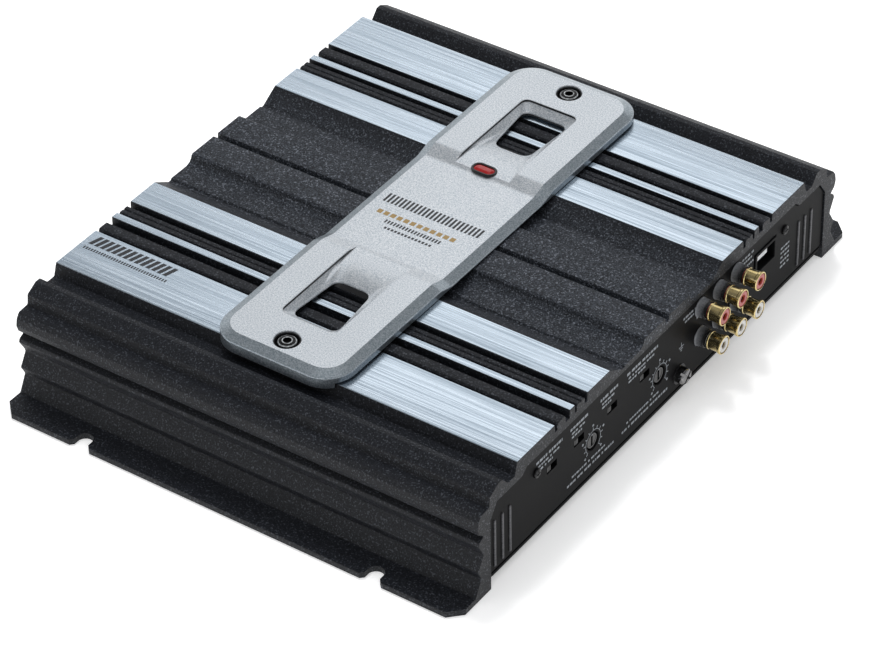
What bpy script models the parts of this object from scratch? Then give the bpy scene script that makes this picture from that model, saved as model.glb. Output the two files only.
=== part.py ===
"""Four-channel car amplifier: an extruded heatsink shell that holds the circuit board, a cast cover plate
across its ribs, a control panel with RCA jacks at one end and a power panel with terminals at the other.

Frame: X runs along the extrusion towards the control panel, Y across it, Z up. The mounting flanges'
underside is Z = 0, and the origin is the centre of the whole amplifier's footprint.
"""

from math import cos, pi, sin

import bmesh
import bpy
from mathutils import Matrix, Vector

MM = 0.001
GAP = 0.3 * MM  # between pieces that touch
RUNNING = 0.35 * MM  # round a piece that turns or slides

# Heatsink shell
WIDTH = 262 * MM  # flange tip to flange tip
LENGTH = 199 * MM  # of the extrusion
FLANGE_OUT = 11.1 * MM  # from the foot of the wall to the flange's tip
FLANGE_THICK = 2.5 * MM
FLANGE_CORNER = 5 * MM
DECK_TOP = 45.1 * MM  # of the broad outer strips
DECK_THICK = 6.1 * MM
RIB_RISE = 0.5 * MM  # of the highest ribs above the deck
VALLEY_DROP = 5.1 * MM  # from the deck to the valley between the outer strip and the rail
VALLEY_THICK = 3.4 * MM
GROOVE_DROP = 3.1 * MM  # from the deck to the floor of the grooves beside the thin ribs
SHOULDER_DROP = 14.1 * MM  # from the deck to where the hollow's corners are cut back
WALL_DRAWN = 42.6 * MM  # the height over the flange that the side wall's ribs are drawn at
WALL_TO_OPENING = 9.4 * MM  # from the foot of the wall to the hollow inside
LEDGE_OUT = 6 * MM  # the ledge that the base plate is screwed to
LEDGE_THICK = 2 * MM

# Mounting slots in the flanges
SLOT_WIDTH = 6.4 * MM
SLOT_DEPTH = 6.6 * MM
SLOT_INSET = 36 * MM  # from the extrusion's end to the slot's centre
SLOT_LIP = 1.4 * MM

# Cover plate
COVER_WIDTH = 55.6 * MM
COVER_END_GAP = 6.5 * MM  # from the rail's peak to the plate's end
COVER_CORNER = 12 * MM
COVER_RISE = 4.9 * MM  # of the raised ends above the deck
COVER_DIP = 2 * MM  # from the raised ends to the middle
COVER_EDGE_DROP = 1.6 * MM
COVER_EDGE = 3.8 * MM
COVER_SKIRT = 4 * MM  # thickness of the skirt at each end
SKIRT_DROP = 1.2 * MM  # of the skirt's foot below the deck
STEP_OUTER = 35.8 * MM
STEP_INNER = 28.8 * MM
SCOOP_WIDTH = 24 * MM
SCOOP_END_INSET = 22 * MM  # from the plate's end
SCOOP_OVERRUN = 4.8 * MM  # how far the ramp starts inside the plate's step
SCOOP_ENTRY = 0.8 * MM  # depth at the ramp's start
SCOOP_DEPTH = 2.7 * MM
WINDOW_RIM = 3.6 * MM
WINDOW_LENGTH_SHARE = 0.53  # of the scoop, the rest is its ramp
WINDOW_WIDTH_OUTER = 19.6 * MM
WINDOW_WIDTH_INNER = 15 * MM
WINDOW_CORNER = 2.2 * MM
COVER_SCREW_INSET = 10.3 * MM
COUNTERBORE_RADIUS = 4.9 * MM
COUNTERBORE_DEPTH = 2.6 * MM
LENS_LENGTH = 8.4 * MM
LENS_WIDTH = 4 * MM
LENS_SEAT = 1.2 * MM  # depth of its pocket below the plate's middle
LENS_RECESS = 0.6 * MM  # of its top below the raised end

# End panels
PANEL_THICK = 2 * MM
PANEL_RECESS = 0.6 * MM
POCKET_OVERCUT = 0.02 * MM  # machined off the hollow's walls where a panel sits
PANEL_SCREW_Y = 82 * MM
SCREW_RIB_WIDTH = 7 * MM
SCREW_RIB_CLEAR = 0.7 * MM  # from the terminal blocks up to the screw's rib
SCREW_HOLE_DEPTH = 14 * MM

# Base plate and circuit board
BASE_THICK = 1.5 * MM
BASE_UNDER = 4.2 * MM
BASE_SCREW_INSET = 16 * MM
BOARD_THICK = 1.6 * MM
BOARD_END_GAP = 6 * MM

# RCA jacks
JACK_Y = 23.6 * MM  # of the first column
JACK_PITCH = 12.2 * MM
JACK_Z = 20.5 * MM  # of the lower row
JACK_RISE = 13 * MM
JACK_BOSS_RADIUS = 3.9 * MM
JACK_BOSS_OUT = 4.2 * MM
JACK_SHELL_RADIUS = 3.75 * MM
JACK_SHELL_WALL = 0.6 * MM
JACK_SHELL_OUT = 5.9 * MM
JACK_PIN_RADIUS = 1.7 * MM
JACK_FACE_RECESS = 0.6 * MM  # of the insert's face inside the shell
JACK_FLARE = 0.2 * MM  # of the shell's lip beyond its barrel
JACK_LIP = 0.8 * MM
JACK_BLOCK_DEPTH = 13 * MM
JACK_BLOCK_SIDE = 3 * MM  # block beyond the outer bosses
JACK_BLOCK_TOP = 0.6 * MM

# Gain controls
GAIN_Y = (-46.6 * MM, -3.4 * MM)
GAIN_Z = 20.4 * MM
DIAL_RADIUS = 3.3 * MM
DIAL_THICK = 1.6 * MM
DIAL_RECESS = 0.4 * MM
DIAL_SLOT_WIDTH = 1.2 * MM
DIAL_SLOT_LENGTH = 4.8 * MM
DIAL_SLOT_DEPTH = 0.9 * MM
SHAFT_RADIUS = 1.5 * MM
SHAFT_LENGTH = 6 * MM  # behind the panel
POT_SIZE = 8 * MM
POT_DEPTH = 6.5 * MM
POT_GAP = 2.5 * MM  # from the panel to the pot, where the dial's thickness runs

# Slide switches
SWITCH_Y = (-74 * MM, -57 * MM, -36 * MM, -15 * MM)
SWITCH_Z = 27.2 * MM
SWITCH_TRAVEL = 3 * MM
SWITCH_KNOB = 2.6 * MM
SWITCH_HEIGHT = 2.4 * MM
SWITCH_BODY = 11 * MM
SWITCH_BODY_HEIGHT = 5.2 * MM
SWITCH_BODY_DEPTH = 5 * MM
SWITCH_WELL = 2 * MM  # the slot in the body's front that the knob slides in
SWITCH_KNOB_DEPTH = 1.6 * MM  # of the knob inside the well
SWITCH_RECESS = 0.2 * MM  # of the knob behind the panel's face

# Ground screw and speaker-level input socket
GROUND_Y = 10 * MM
GROUND_Z = 12 * MM
SOCKET_Y = 68.4 * MM
SOCKET_Z = 27.5 * MM
SOCKET_WIDTH = 15 * MM
SOCKET_HEIGHT = 10 * MM
SOCKET_WALL = 1.4 * MM
SOCKET_DEPTH = 9 * MM
SOCKET_PROUD = 0.5 * MM

# Terminal blocks, fuses
SPEAKER_BAYS = 8
SPEAKER_BAY = 6.6 * MM
SPEAKER_FROM = -88 * MM
POWER_BAYS = 3
POWER_BAY = 11 * MM
POWER_FROM = 38 * MM
BARRIER = 1.8 * MM
BARRIER_OUT = 4.2 * MM
TERMINAL_UNDER = 11.4 * MM
TERMINAL_HEIGHT = 15.6 * MM
TERMINAL_DEPTH = 9 * MM
SEAT_PROUD = 0.6 * MM  # of the bays' floor beyond the panel's inner face
SCREW_DROP = 0.6 * MM  # from a bay's middle square down to its screw
SLOT_TURN = 0.7  # radians from one tightened screw's slot to the next
SPEAKER_HEAD = 2.6 * MM
POWER_HEAD = 3.6 * MM
HEAD_THICK = 2.2 * MM
FUSE_WIDTH = 19 * MM
FUSE_THICK = 5.2 * MM
FUSE_OUT = 3.4 * MM
FUSE_DEPTH = 7 * MM
FUSE_Y = (4 * MM, 20 * MM)
FUSE_UNDER = 13 * MM
HOLDER_WALL = 1.6 * MM
BLADE_THICK = 0.8 * MM
BLADE_WIDTH = 5 * MM
BLADE_LENGTH = 8 * MM
BLADE_INSET = 3.5 * MM  # from the head's edge to the blade's middle
BLADE_ROOT = 2 * MM  # of the blade inside the head
BLADE_CLEAR = 0.4 * MM

# Parts inside
RING_RADIUS = 15 * MM
RING_BORE = 6.75 * MM
RING_HEIGHT = 14 * MM
RING_CORNER = 2.5 * MM
CAN_RADIUS = 9 * MM
CAN_HEIGHT = 20 * MM
CLAMP_LENGTH = 150 * MM
CLAMP_HEIGHT = 16 * MM
CLAMP_EDGE = 3 * MM
CLAMP_MIDDLE = 5 * MM
CLAMP_CLEAR = 0.5 * MM  # from the side wall
CLAMP_LIFT = 2 * MM  # over the board

WALL_FOOT = WIDTH / 2 - FLANGE_OUT
OPENING = WALL_FOOT - WALL_TO_OPENING
RAIL_PEAK = WALL_FOOT - 14.1 * MM
DECK_UNDER = DECK_TOP - DECK_THICK
VALLEY_FLOOR = DECK_TOP - VALLEY_DROP
VALLEY_UNDER = VALLEY_FLOOR - VALLEY_THICK
GROOVE_FLOOR = DECK_TOP - GROOVE_DROP
OPENING_SHOULDER = DECK_TOP - SHOULDER_DROP
COVER_HALF = RAIL_PEAK - COVER_END_GAP
COVER_PLATEAU = DECK_TOP + COVER_RISE
COVER_CENTRE = COVER_PLATEAU - COVER_DIP
COVER_SKIRT_FOOT = DECK_TOP - SKIRT_DROP
SCOOP_FLOOR = COVER_PLATEAU - SCOOP_DEPTH
COUNTERBORE_FLOOR = COVER_PLATEAU - COUNTERBORE_DEPTH
COVER_SCREW_Y = COVER_HALF - COVER_SCREW_INSET
TERMINAL_TOP = TERMINAL_UNDER + TERMINAL_HEIGHT
PANEL_SCREW_Z = TERMINAL_TOP + SCREW_RIB_CLEAR + SCREW_RIB_WIDTH / 2
PANEL_UNDER = BASE_UNDER + BASE_THICK + GAP
PANEL_FACE = LENGTH / 2 - PANEL_RECESS
PANEL_BACK = PANEL_FACE - PANEL_THICK
BOARD_UNDER = PANEL_UNDER + LEDGE_THICK + GAP
BOARD_TOP = BOARD_UNDER + BOARD_THICK
FRONT_REACH = PANEL_FACE + JACK_BOSS_OUT + GAP + JACK_SHELL_OUT
REAR_REACH = PANEL_FACE + BARRIER_OUT
FRAME_SHIFT = (REAR_REACH - FRONT_REACH) / 2

FINISHES = {
    "black_shell": ((0.018, 0.018, 0.02), 0.5, 0.6),
    "silver_paint": ((0.72, 0.74, 0.76), 0.35, 0.7),
    "steel": ((0.55, 0.55, 0.56), 0.35, 1.0),
    "black_screw": ((0.03, 0.03, 0.03), 0.35, 0.9),
    "black_panel": ((0.02, 0.02, 0.022), 0.45, 0.0),
    "black_plastic": ((0.015, 0.015, 0.015), 0.3, 0.0),
    "gold": ((0.83, 0.62, 0.22), 0.2, 1.0),
    "red_lens": ((0.6, 0.02, 0.02), 0.1, 0.0),
    "board_green": ((0.02, 0.12, 0.05), 0.5, 0.0),
    "copper_wire": ((0.55, 0.22, 0.08), 0.3, 0.9),
    "can_sleeve": ((0.02, 0.03, 0.08), 0.3, 0.0),
    "fuse_amber": ((0.75, 0.35, 0.03), 0.25, 0.0),
}


def clear_scene():
    for obj in list(bpy.data.objects):
        bpy.data.objects.remove(obj, do_unlink=True)


def finish_of(name):
    made = bpy.data.materials.get(name)
    if made:
        return made
    colour, roughness, metallic = FINISHES[name]
    made = bpy.data.materials.new(name)
    made.use_nodes = True
    shader = made.node_tree.nodes["Principled BSDF"]
    shader.inputs["Base Color"].default_value = (*colour, 1)
    shader.inputs["Roughness"].default_value = roughness
    shader.inputs["Metallic"].default_value = metallic
    return made


def face_outwards(mesh_work):
    bmesh.ops.recalc_face_normals(mesh_work, faces=mesh_work.faces)
    if mesh_work.calc_volume(signed=True) < 0:
        bmesh.ops.reverse_faces(mesh_work, faces=mesh_work.faces)


def add(name, mesh_work, finish=None, origin=(0, 0, 0), smooth=False):
    """One object from mesh work in world coordinates, with its origin where it turns or slides."""
    bmesh.ops.translate(mesh_work, verts=mesh_work.verts, vec=-Vector(origin))
    mesh = bpy.data.meshes.new(name)
    mesh_work.to_mesh(mesh)
    mesh_work.free()
    obj = bpy.data.objects.new(name, mesh)
    obj.location = origin
    bpy.context.collection.objects.link(obj)
    if finish:
        mesh.materials.append(finish_of(finish))
    if smooth:
        mesh.shade_smooth()
        mesh.set_sharp_from_angle(angle=pi / 5)
    return obj


def change(obj, mesh_work, operation):
    """Cuts or joins another solid, which stays as a hidden helper."""
    other = add(f"{obj.name}_{operation.lower()}", mesh_work)
    other.hide_render = True
    other.display_type = "WIRE"
    modifier = obj.modifiers.new(other.name, "BOOLEAN")
    modifier.operation = operation
    modifier.solver = "EXACT"
    modifier.use_self = True
    modifier.object = other
    return obj


def joined(*works):
    """Several mesh works put into one."""
    whole = bmesh.new()
    for work in works:
        mesh = bpy.data.meshes.new("part")
        work.to_mesh(mesh)
        work.free()
        whole.from_mesh(mesh)
        bpy.data.meshes.remove(mesh)
    return whole


def prism(outline, axis, low, high):
    """An outline extruded along an axis. The outline's two values are the other axes, in X, Y, Z order."""
    work = bmesh.new()
    rings = []
    for along in (low, high):
        ring = []
        for point in outline:
            place = list(point)
            place.insert("XYZ".index(axis), along)
            ring.append(work.verts.new(place))
        rings.append(ring)
    count = len(outline)
    work.faces.new(rings[0])
    work.faces.new(rings[1])
    for i in range(count):
        j = (i + 1) % count
        work.faces.new((rings[0][i], rings[0][j], rings[1][j], rings[1][i]))
    face_outwards(work)
    return work


def box(low, high):
    outline = [(low[1], low[2]), (high[1], low[2]), (high[1], high[2]), (low[1], high[2])]
    return prism(outline, "X", low[0], high[0])


def turned(profile, centre, direction, segments=16):
    """A solid turned about a line through centre. The profile's points are (radius, distance along), and it
    starts and ends on the axis, or is a closed loop when it stays clear of the axis."""
    work = bmesh.new()
    closed = profile[0][0] > 0
    turn = Vector((0, 0, 1)).rotation_difference(Vector(direction)).to_matrix()
    rings = []
    for radius, along in profile:
        if radius == 0:
            rings.append([work.verts.new(Vector(centre) + turn @ Vector((0, 0, along)))])
            continue
        ring = []
        for step in range(segments):
            angle = 2 * pi * (step + 0.5) / segments
            spot = Vector((radius * cos(angle), radius * sin(angle), along))
            ring.append(work.verts.new(Vector(centre) + turn @ spot))
        rings.append(ring)
    pairs = list(zip(rings, rings[1:]))
    if closed:
        pairs.append((rings[-1], rings[0]))
    for first, second in pairs:
        for step in range(segments):
            after = (step + 1) % segments
            corners = [first[step % len(first)], first[after % len(first)]]
            corners += [second[after % len(second)], second[step % len(second)]]
            unique = list(dict.fromkeys(corners))
            if len(unique) > 2:
                work.faces.new(unique)
    face_outwards(work)
    return work


def rod(radius, centre, direction, low, high, segments=16):
    return turned([(0, low), (radius, low), (radius, high), (0, high)], centre, direction, segments)


def mirrored(half):
    """A whole outline from the half at positive Y, which runs from the top middle to the bottom middle."""
    return [(y, z) for y, z in half] + [(-y, z) for y, z in reversed(half) if y > 0]


def inset(outline, distance):
    """The outline moved inwards by a distance on every side."""
    area = sum(a[0] * b[1] - b[0] * a[1] for a, b in zip(outline, outline[1:] + outline[:1]))
    side = distance if area > 0 else -distance
    moved = []
    for i, point in enumerate(outline):
        before = Vector(point) - Vector(outline[i - 1])
        after = Vector(outline[(i + 1) % len(outline)]) - Vector(point)
        normal_before = Vector((-before.y, before.x)).normalized()
        normal_after = Vector((-after.y, after.x)).normalized()
        middle = (normal_before + normal_after).normalized()
        moved.append(tuple(Vector(point) + middle * side / middle.dot(normal_after)))
    return moved


def ribs_across():
    """The top of the shell from its middle to the outer strip: (distance out, height over the deck)."""
    block, shelf, low_step, thin, crest = -0.1, -3.5, -4.2, -0.3, RIB_RISE / MM
    points = [(0, -2.6), (0.9, -2.6), (1.3, block), (14.2, block), (15.0, -0.6)]
    points += [(15.4, -1.8), (16.4, -2.9), (18.2, shelf), (27.4, shelf), (27.9, low_step)]
    points += [(29.2, low_step), (36.6, crest - 0.3), (37.2, crest), (51.0, crest), (51.3, crest - 0.3)]
    half = over_deck(points)
    half += groove(51.4, 52.9)
    half += over_deck([(53.4, thin), (55.0, thin), (55.4, -1.0), (55.8, thin), (57.6, thin)])
    half += groove(58.0, 59.0)
    half += over_deck([(59.1, 0.3), (62.2, 0.3)])
    half += groove(62.3, 64.8)
    half += over_deck([(65.4, -0.2), (69.4, -0.2)])
    half += groove(70.0, 71.4)
    return half


def over_deck(points):
    """Millimetres from the middle and over the deck, made into places across the shell."""
    return [(across * MM, DECK_TOP + height * MM) for across, height in points]


def groove(start, end):
    top = GROOVE_FLOOR + 2 * MM
    return [(start * MM, top), (start * MM, GROOVE_FLOOR), (end * MM, GROOVE_FLOOR), (end * MM, top)]


def side_wall():
    """The ribbed side of the shell, from the rail's peak down to the flange: (distance in from the foot,
    height over the flange). The ribs spread out as the wall gets taller."""
    points = [(14.1, 41.5), (9.1, 38.8), (8.6, 34.7), (3.7, 34.4), (2.2, 32.3), (1.6, 29.4), (2.4, 26.7)]
    points += [(5.6, 24.5), (2.6, 23.1), (2.1, 21.7), (4.6, 17.1), (4.9, 15.8), (1.6, 10.4), (3.5, 6.6)]
    spread = (DECK_TOP - FLANGE_THICK) / WALL_DRAWN
    return [(WALL_FOOT - inwards * MM, FLANGE_THICK + height * MM * spread) for inwards, height in points]


def opening_outline():
    """The hollow at the shell's ends, where the panels sit."""
    half = [(0, DECK_UNDER), (OPENING - 22 * MM, DECK_UNDER), (OPENING - 19 * MM, VALLEY_UNDER)]
    half += [(OPENING - 4 * MM, VALLEY_UNDER), (OPENING, OPENING_SHOULDER)]
    half += [(OPENING, PANEL_UNDER), (0, PANEL_UNDER)]
    return mirrored(half)


def shell_outline():
    half = ribs_across()
    half += [(71.5 * MM, DECK_TOP), (RAIL_PEAK - 11.5 * MM, DECK_TOP), (RAIL_PEAK - 9.8 * MM, VALLEY_FLOOR)]
    half += [(RAIL_PEAK - 5.8 * MM, VALLEY_FLOOR), (RAIL_PEAK - 2.2 * MM, DECK_TOP - 1.2 * MM)]
    half += side_wall()
    half += [(WALL_FOOT, FLANGE_THICK), (WIDTH / 2, FLANGE_THICK), (WIDTH / 2, 0), (OPENING, 0)]
    half += [(OPENING, PANEL_UNDER), (OPENING - LEDGE_OUT, PANEL_UNDER)]
    half += [(OPENING - LEDGE_OUT, PANEL_UNDER + LEDGE_THICK), (OPENING, PANEL_UNDER + LEDGE_THICK)]
    half += [(OPENING, OPENING_SHOULDER), (OPENING - 4 * MM, VALLEY_UNDER), (OPENING - 19 * MM, VALLEY_UNDER)]
    half += [(OPENING - 22 * MM, DECK_UNDER)]
    rib_low = PANEL_SCREW_Z - SCREW_RIB_WIDTH / 2
    for offset, height in ((1, DECK_UNDER), (1, rib_low), (-1, rib_low), (-1, DECK_UNDER)):
        half.append((PANEL_SCREW_Y + offset * SCREW_RIB_WIDTH / 2, height))
    half.append((0, DECK_UNDER))
    return mirrored(half)


def slot_outline(x, side):
    """A mounting slot, open at the flange's tip and round at its end, with a rounded mouth."""
    radius = SLOT_WIDTH / 2
    end = WIDTH / 2 - SLOT_DEPTH + radius
    points = [(x + radius + SLOT_LIP, WIDTH / 2 + MM), (x + radius + SLOT_LIP, WIDTH / 2)]
    points += [(x + radius, WIDTH / 2 - SLOT_LIP)]
    for step in range(7):
        angle = pi * step / 6
        points.append((x + radius * cos(angle), end - radius * sin(angle)))
    points += [(x - radius, WIDTH / 2 - SLOT_LIP), (x - radius - SLOT_LIP, WIDTH / 2)]
    points += [(x - radius - SLOT_LIP, WIDTH / 2 + MM)]
    return [(px, side * py) for px, py in points]


def heatsink():
    shell = add("heatsink_shell", prism(shell_outline(), "X", -LENGTH / 2, LENGTH / 2), "black_shell")
    cuts = []
    for end in (-1, 1):
        inner = end * (PANEL_BACK - GAP)
        outer = end * (LENGTH / 2 + MM)
        pocket = inset(opening_outline(), -POCKET_OVERCUT)
        cuts.append(prism(pocket, "X", min(inner, outer), max(inner, outer)))
        for side in (-1, 1):
            slot = slot_outline(end * (LENGTH / 2 - SLOT_INSET), side)
            cuts.append(prism(slot, "Z", -MM, FLANGE_THICK + MM))
            corner = [(end * (LENGTH / 2 - FLANGE_CORNER), side * (WIDTH / 2 + MM))]
            corner += [(end * (LENGTH / 2 - FLANGE_CORNER), side * WIDTH / 2)]
            corner += [(end * LENGTH / 2, side * (WIDTH / 2 - FLANGE_CORNER))]
            corner += [(end * (LENGTH / 2 + MM), side * (WIDTH / 2 - FLANGE_CORNER))]
            corner += [(end * (LENGTH / 2 + MM), side * (WIDTH / 2 + MM))]
            cuts.append(prism(corner, "Z", -MM, FLANGE_THICK + MM))
            foot = (end * (LENGTH / 2 - BASE_SCREW_INSET), side * (OPENING - LEDGE_OUT / 2), PANEL_UNDER - MM)
            cuts.append(rod(BASE_SCREW.shank + GAP, foot, (0, 0, 1), 0, LEDGE_THICK + 2 * MM, 12))
            spot = (end * (PANEL_BACK - SCREW_HOLE_DEPTH), side * PANEL_SCREW_Y, PANEL_SCREW_Z)
            cuts.append(rod(PANEL_SCREW.shank + GAP, spot, (end, 0, 0), 0, SCREW_HOLE_DEPTH + MM, 12))
    for side in (-1, 1):
        spot = (0, side * COVER_SCREW_Y, DECK_UNDER)
        cuts.append(rod(COVER_SCREW.shank + GAP, spot, (0, 0, 1), -0.4 * MM, DECK_THICK + 2.5 * MM, 12))
    return change(shell, joined(*cuts), "DIFFERENCE")


class Screw:
    """A turned screw: the head's radius and height, the socket's radius, the shank's radius and length."""

    def __init__(self, head, thick, socket, shank, length):
        self.head = head
        self.thick = thick
        self.socket = socket
        self.shank = shank
        self.length = length

    def profile(self):
        edge = 0.5 * MM
        tip, tip_length = 0.3 * MM, 0.8 * MM
        depth = 0.55 * self.thick
        points = [(0, -self.length), (self.shank - tip, -self.length), (self.shank, tip_length - self.length)]
        points += [(self.shank, 0), (self.head, 0), (self.head, self.thick - edge)]
        points += [(self.head - edge, self.thick)]
        if self.socket:
            points += [(self.socket, self.thick), (self.socket, self.thick - depth), (0, self.thick - depth)]
        else:
            points += [(0, self.thick)]
        return points

    def place(self, name, seat, direction, finish):
        """The head's underside sits at seat, and the head points in the given direction."""
        return add(name, turned(self.profile(), seat, direction, 12), finish, seat, True)


COVER_SCREW = Screw(head=3.9 * MM, thick=2.1 * MM, socket=1.6 * MM, shank=2 * MM, length=7.5 * MM)
BASE_SCREW = Screw(head=2.8 * MM, thick=1.4 * MM, socket=1 * MM, shank=1.5 * MM, length=3.8 * MM)
PANEL_SCREW = Screw(head=1.9 * MM, thick=0.9 * MM, socket=0.8 * MM, shank=1.3 * MM, length=9 * MM)
GROUND_SCREW = Screw(head=3.2 * MM, thick=3.4 * MM, socket=0, shank=1.9 * MM, length=5.5 * MM)
SPEAKER_SCREW = Screw(head=SPEAKER_HEAD, thick=HEAD_THICK, socket=0, shank=1.4 * MM, length=6 * MM)
POWER_SCREW = Screw(head=POWER_HEAD, thick=HEAD_THICK, socket=0, shank=1.9 * MM, length=6 * MM)


def cover_ring(width, corner, heights):
    """One side of the cover plate's outline, from the near end to the far end, with each point's height."""
    plateau, centre = heights
    middle = COVER_HALF - COVER_CORNER
    reach = COVER_WIDTH / 2 - COVER_CORNER
    arc = []
    for step in range(6):
        angle = pi / 2 * step / 5
        arc.append((reach + corner * sin(angle), -middle - corner * cos(angle), plateau))
    side = [(width / 2, -STEP_OUTER, plateau), (width / 2, -STEP_INNER, centre)]
    half = arc + side
    return half + [(x, -y, z) for x, y, z in reversed(half)]


def cover_plate():
    """The plate as rungs from side to side: foot, edge and top, with lower middle between two raised ends."""
    edge = (COVER_PLATEAU - COVER_EDGE_DROP, COVER_CENTRE - COVER_EDGE_DROP)
    top = (COVER_PLATEAU, COVER_CENTRE)
    narrow = COVER_WIDTH - 2 * COVER_EDGE
    rows = [cover_ring(COVER_WIDTH, COVER_CORNER, (COVER_SKIRT_FOOT, COVER_SKIRT_FOOT))]
    rows.append(cover_ring(COVER_WIDTH, COVER_CORNER, edge))
    rows.append(cover_ring(narrow, COVER_CORNER - COVER_EDGE, top))
    work = bmesh.new()
    right = [[work.verts.new(point) for point in row] for row in rows]
    left = [[work.verts.new((-x, y, z)) for x, y, z in row] for row in rows]
    last = len(rows[0]) - 1
    for lower, upper in ((0, 1), (1, 2)):
        for side in (right, left):
            for i in range(last):
                work.faces.new((side[lower][i], side[lower][i + 1], side[upper][i + 1], side[upper][i]))
        for i in (0, last):
            work.faces.new((right[lower][i], left[lower][i], left[upper][i], right[upper][i]))
    for row in (0, 2):
        for i in range(last):
            work.faces.new((right[row][i], right[row][i + 1], left[row][i + 1], left[row][i]))
    face_outwards(work)
    plate = add("cover_plate", work, "silver_paint")
    under = DECK_TOP + RIB_RISE + GAP
    inner = COVER_HALF - COVER_SKIRT
    wide = COVER_WIDTH / 2 + MM
    cuts = [box((-wide, -inner, COVER_SKIRT_FOOT - MM), (wide, inner, under))]
    for side in (-1, 1):
        spot = (0, side * COVER_SCREW_Y, 0)
        cuts.append(rod(COVER_SCREW.shank + GAP, spot, (0, 0, 1), under - MM, COUNTERBORE_FLOOR + MM, 12))
    change(plate, joined(*cuts), "DIFFERENCE")
    for side in (-1, 1):
        change_scoop(plate, side)
    bores = []
    for side in (-1, 1):
        spot = (0, side * COVER_SCREW_Y, 0)
        bores.append(rod(COUNTERBORE_RADIUS, spot, (0, 0, 1), COUNTERBORE_FLOOR, COVER_PLATEAU + MM, 20))
    lens = lens_outline(GAP)
    bores.append(prism(lens, "Z", COVER_CENTRE - LENS_SEAT, COVER_PLATEAU + MM))
    return change(plate, joined(*bores), "DIFFERENCE")


def change_scoop(plate, side):
    """A scoop that runs down from the plate's step to a window, through which the ribs show."""
    outer = COVER_HALF - SCOOP_END_INSET
    inner = STEP_OUTER - SCOOP_OVERRUN
    window_outer = outer - WINDOW_RIM
    window_inner = window_outer - WINDOW_LENGTH_SHARE * (outer - inner)
    entry = COVER_PLATEAU - SCOOP_ENTRY
    above = COVER_PLATEAU + MM
    floor = [(inner, entry), (window_inner, SCOOP_FLOOR), (window_outer, SCOOP_FLOOR), (outer, entry)]
    outline = floor + [(outer, above), (inner, above)]
    half = SCOOP_WIDTH / 2
    change(plate, prism([(side * y, z) for y, z in outline], "X", -half, half), "DIFFERENCE")
    far, near = WINDOW_WIDTH_OUTER / 2, WINDOW_WIDTH_INNER / 2
    points = [(near - WINDOW_CORNER, window_inner), (near, window_inner + WINDOW_CORNER)]
    points += [(far, window_outer - WINDOW_CORNER), (far - WINDOW_CORNER, window_outer)]
    points += [(-x, y) for x, y in reversed(points)]
    window = prism([(x, side * y) for x, y in points], "Z", COVER_SKIRT_FOOT, COVER_PLATEAU)
    change(plate, window, "DIFFERENCE")


def lens_outline(grow):
    """A long round-ended lens that lies across the plate in its far step."""
    radius = LENS_WIDTH / 2 + grow
    reach = LENS_LENGTH / 2 - LENS_WIDTH / 2
    middle = (STEP_INNER + STEP_OUTER) / 2
    points = []
    for end in (1, -1):
        for step in range(7):
            angle = pi * step / 6 - pi / 2
            points.append((end * (reach + radius * cos(angle)), middle + end * radius * sin(angle)))
    return points


def cover_fittings():
    low = COVER_CENTRE - LENS_SEAT + GAP
    add("power_lens", prism(lens_outline(0), "Z", low, COVER_PLATEAU - LENS_RECESS), "red_lens")
    for name, side in (("near", -1), ("far", 1)):
        seat = (0, side * COVER_SCREW_Y, COUNTERBORE_FLOOR + GAP)
        COVER_SCREW.place(f"cover_screw_{name}", seat, (0, 0, 1), "black_screw")


def jack_places():
    for row in range(2):
        for column in range(3):
            yield JACK_Y + column * JACK_PITCH, JACK_Z + row * JACK_RISE


def switch_slot(y):
    """The slot that a switch's knob slides in: it rests at the slot's negative end."""
    low = y - SWITCH_KNOB / 2 - RUNNING
    high = y + SWITCH_KNOB / 2 + SWITCH_TRAVEL + RUNNING
    half = SWITCH_HEIGHT / 2 + RUNNING
    return low, high, SWITCH_Z - half, SWITCH_Z + half


def end_panel(name, end, cuts):
    faces = sorted((end * PANEL_FACE, end * PANEL_BACK))
    panel = add(name, prism(inset(opening_outline(), GAP), "X", *faces), "black_panel")
    for side in (-1, 1):
        spot = (end * (PANEL_BACK - MM), side * PANEL_SCREW_Y, PANEL_SCREW_Z)
        cuts.append(rod(PANEL_SCREW.shank + GAP, spot, (end, 0, 0), 0, PANEL_THICK + 2 * MM, 12))
        seat = (end * (PANEL_FACE + GAP / 2), side * PANEL_SCREW_Y, PANEL_SCREW_Z)
        label = f"{name.split('_')[0]}_panel_screw_{'near' if side < 0 else 'far'}"
        PANEL_SCREW.place(label, seat, (end, 0, 0), "black_screw")
    return change(panel, joined(*cuts), "DIFFERENCE")


def control_panel():
    low, high = PANEL_BACK - MM, PANEL_FACE + MM
    cuts = []
    for y, z in jack_places():
        cuts.append(rod(JACK_BOSS_RADIUS + GAP, (0, y, z), (1, 0, 0), low, high, 20))
    for y in GAIN_Y:
        cuts.append(rod(DIAL_RADIUS + RUNNING, (0, y, GAIN_Z), (1, 0, 0), low, high, 20))
    for y in SWITCH_Y:
        left, right, under, over = switch_slot(y)
        cuts.append(box((low, left, under), (high, right, over)))
    cuts.append(rod(GROUND_SCREW.shank + GAP, (0, GROUND_Y, GROUND_Z), (1, 0, 0), low, high, 12))
    wide, tall = SOCKET_WIDTH / 2 + GAP, SOCKET_HEIGHT / 2 + GAP
    cuts.append(box((low, SOCKET_Y - wide, SOCKET_Z - tall), (high, SOCKET_Y + wide, SOCKET_Z + tall)))
    end_panel("control_panel", 1, cuts)


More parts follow.
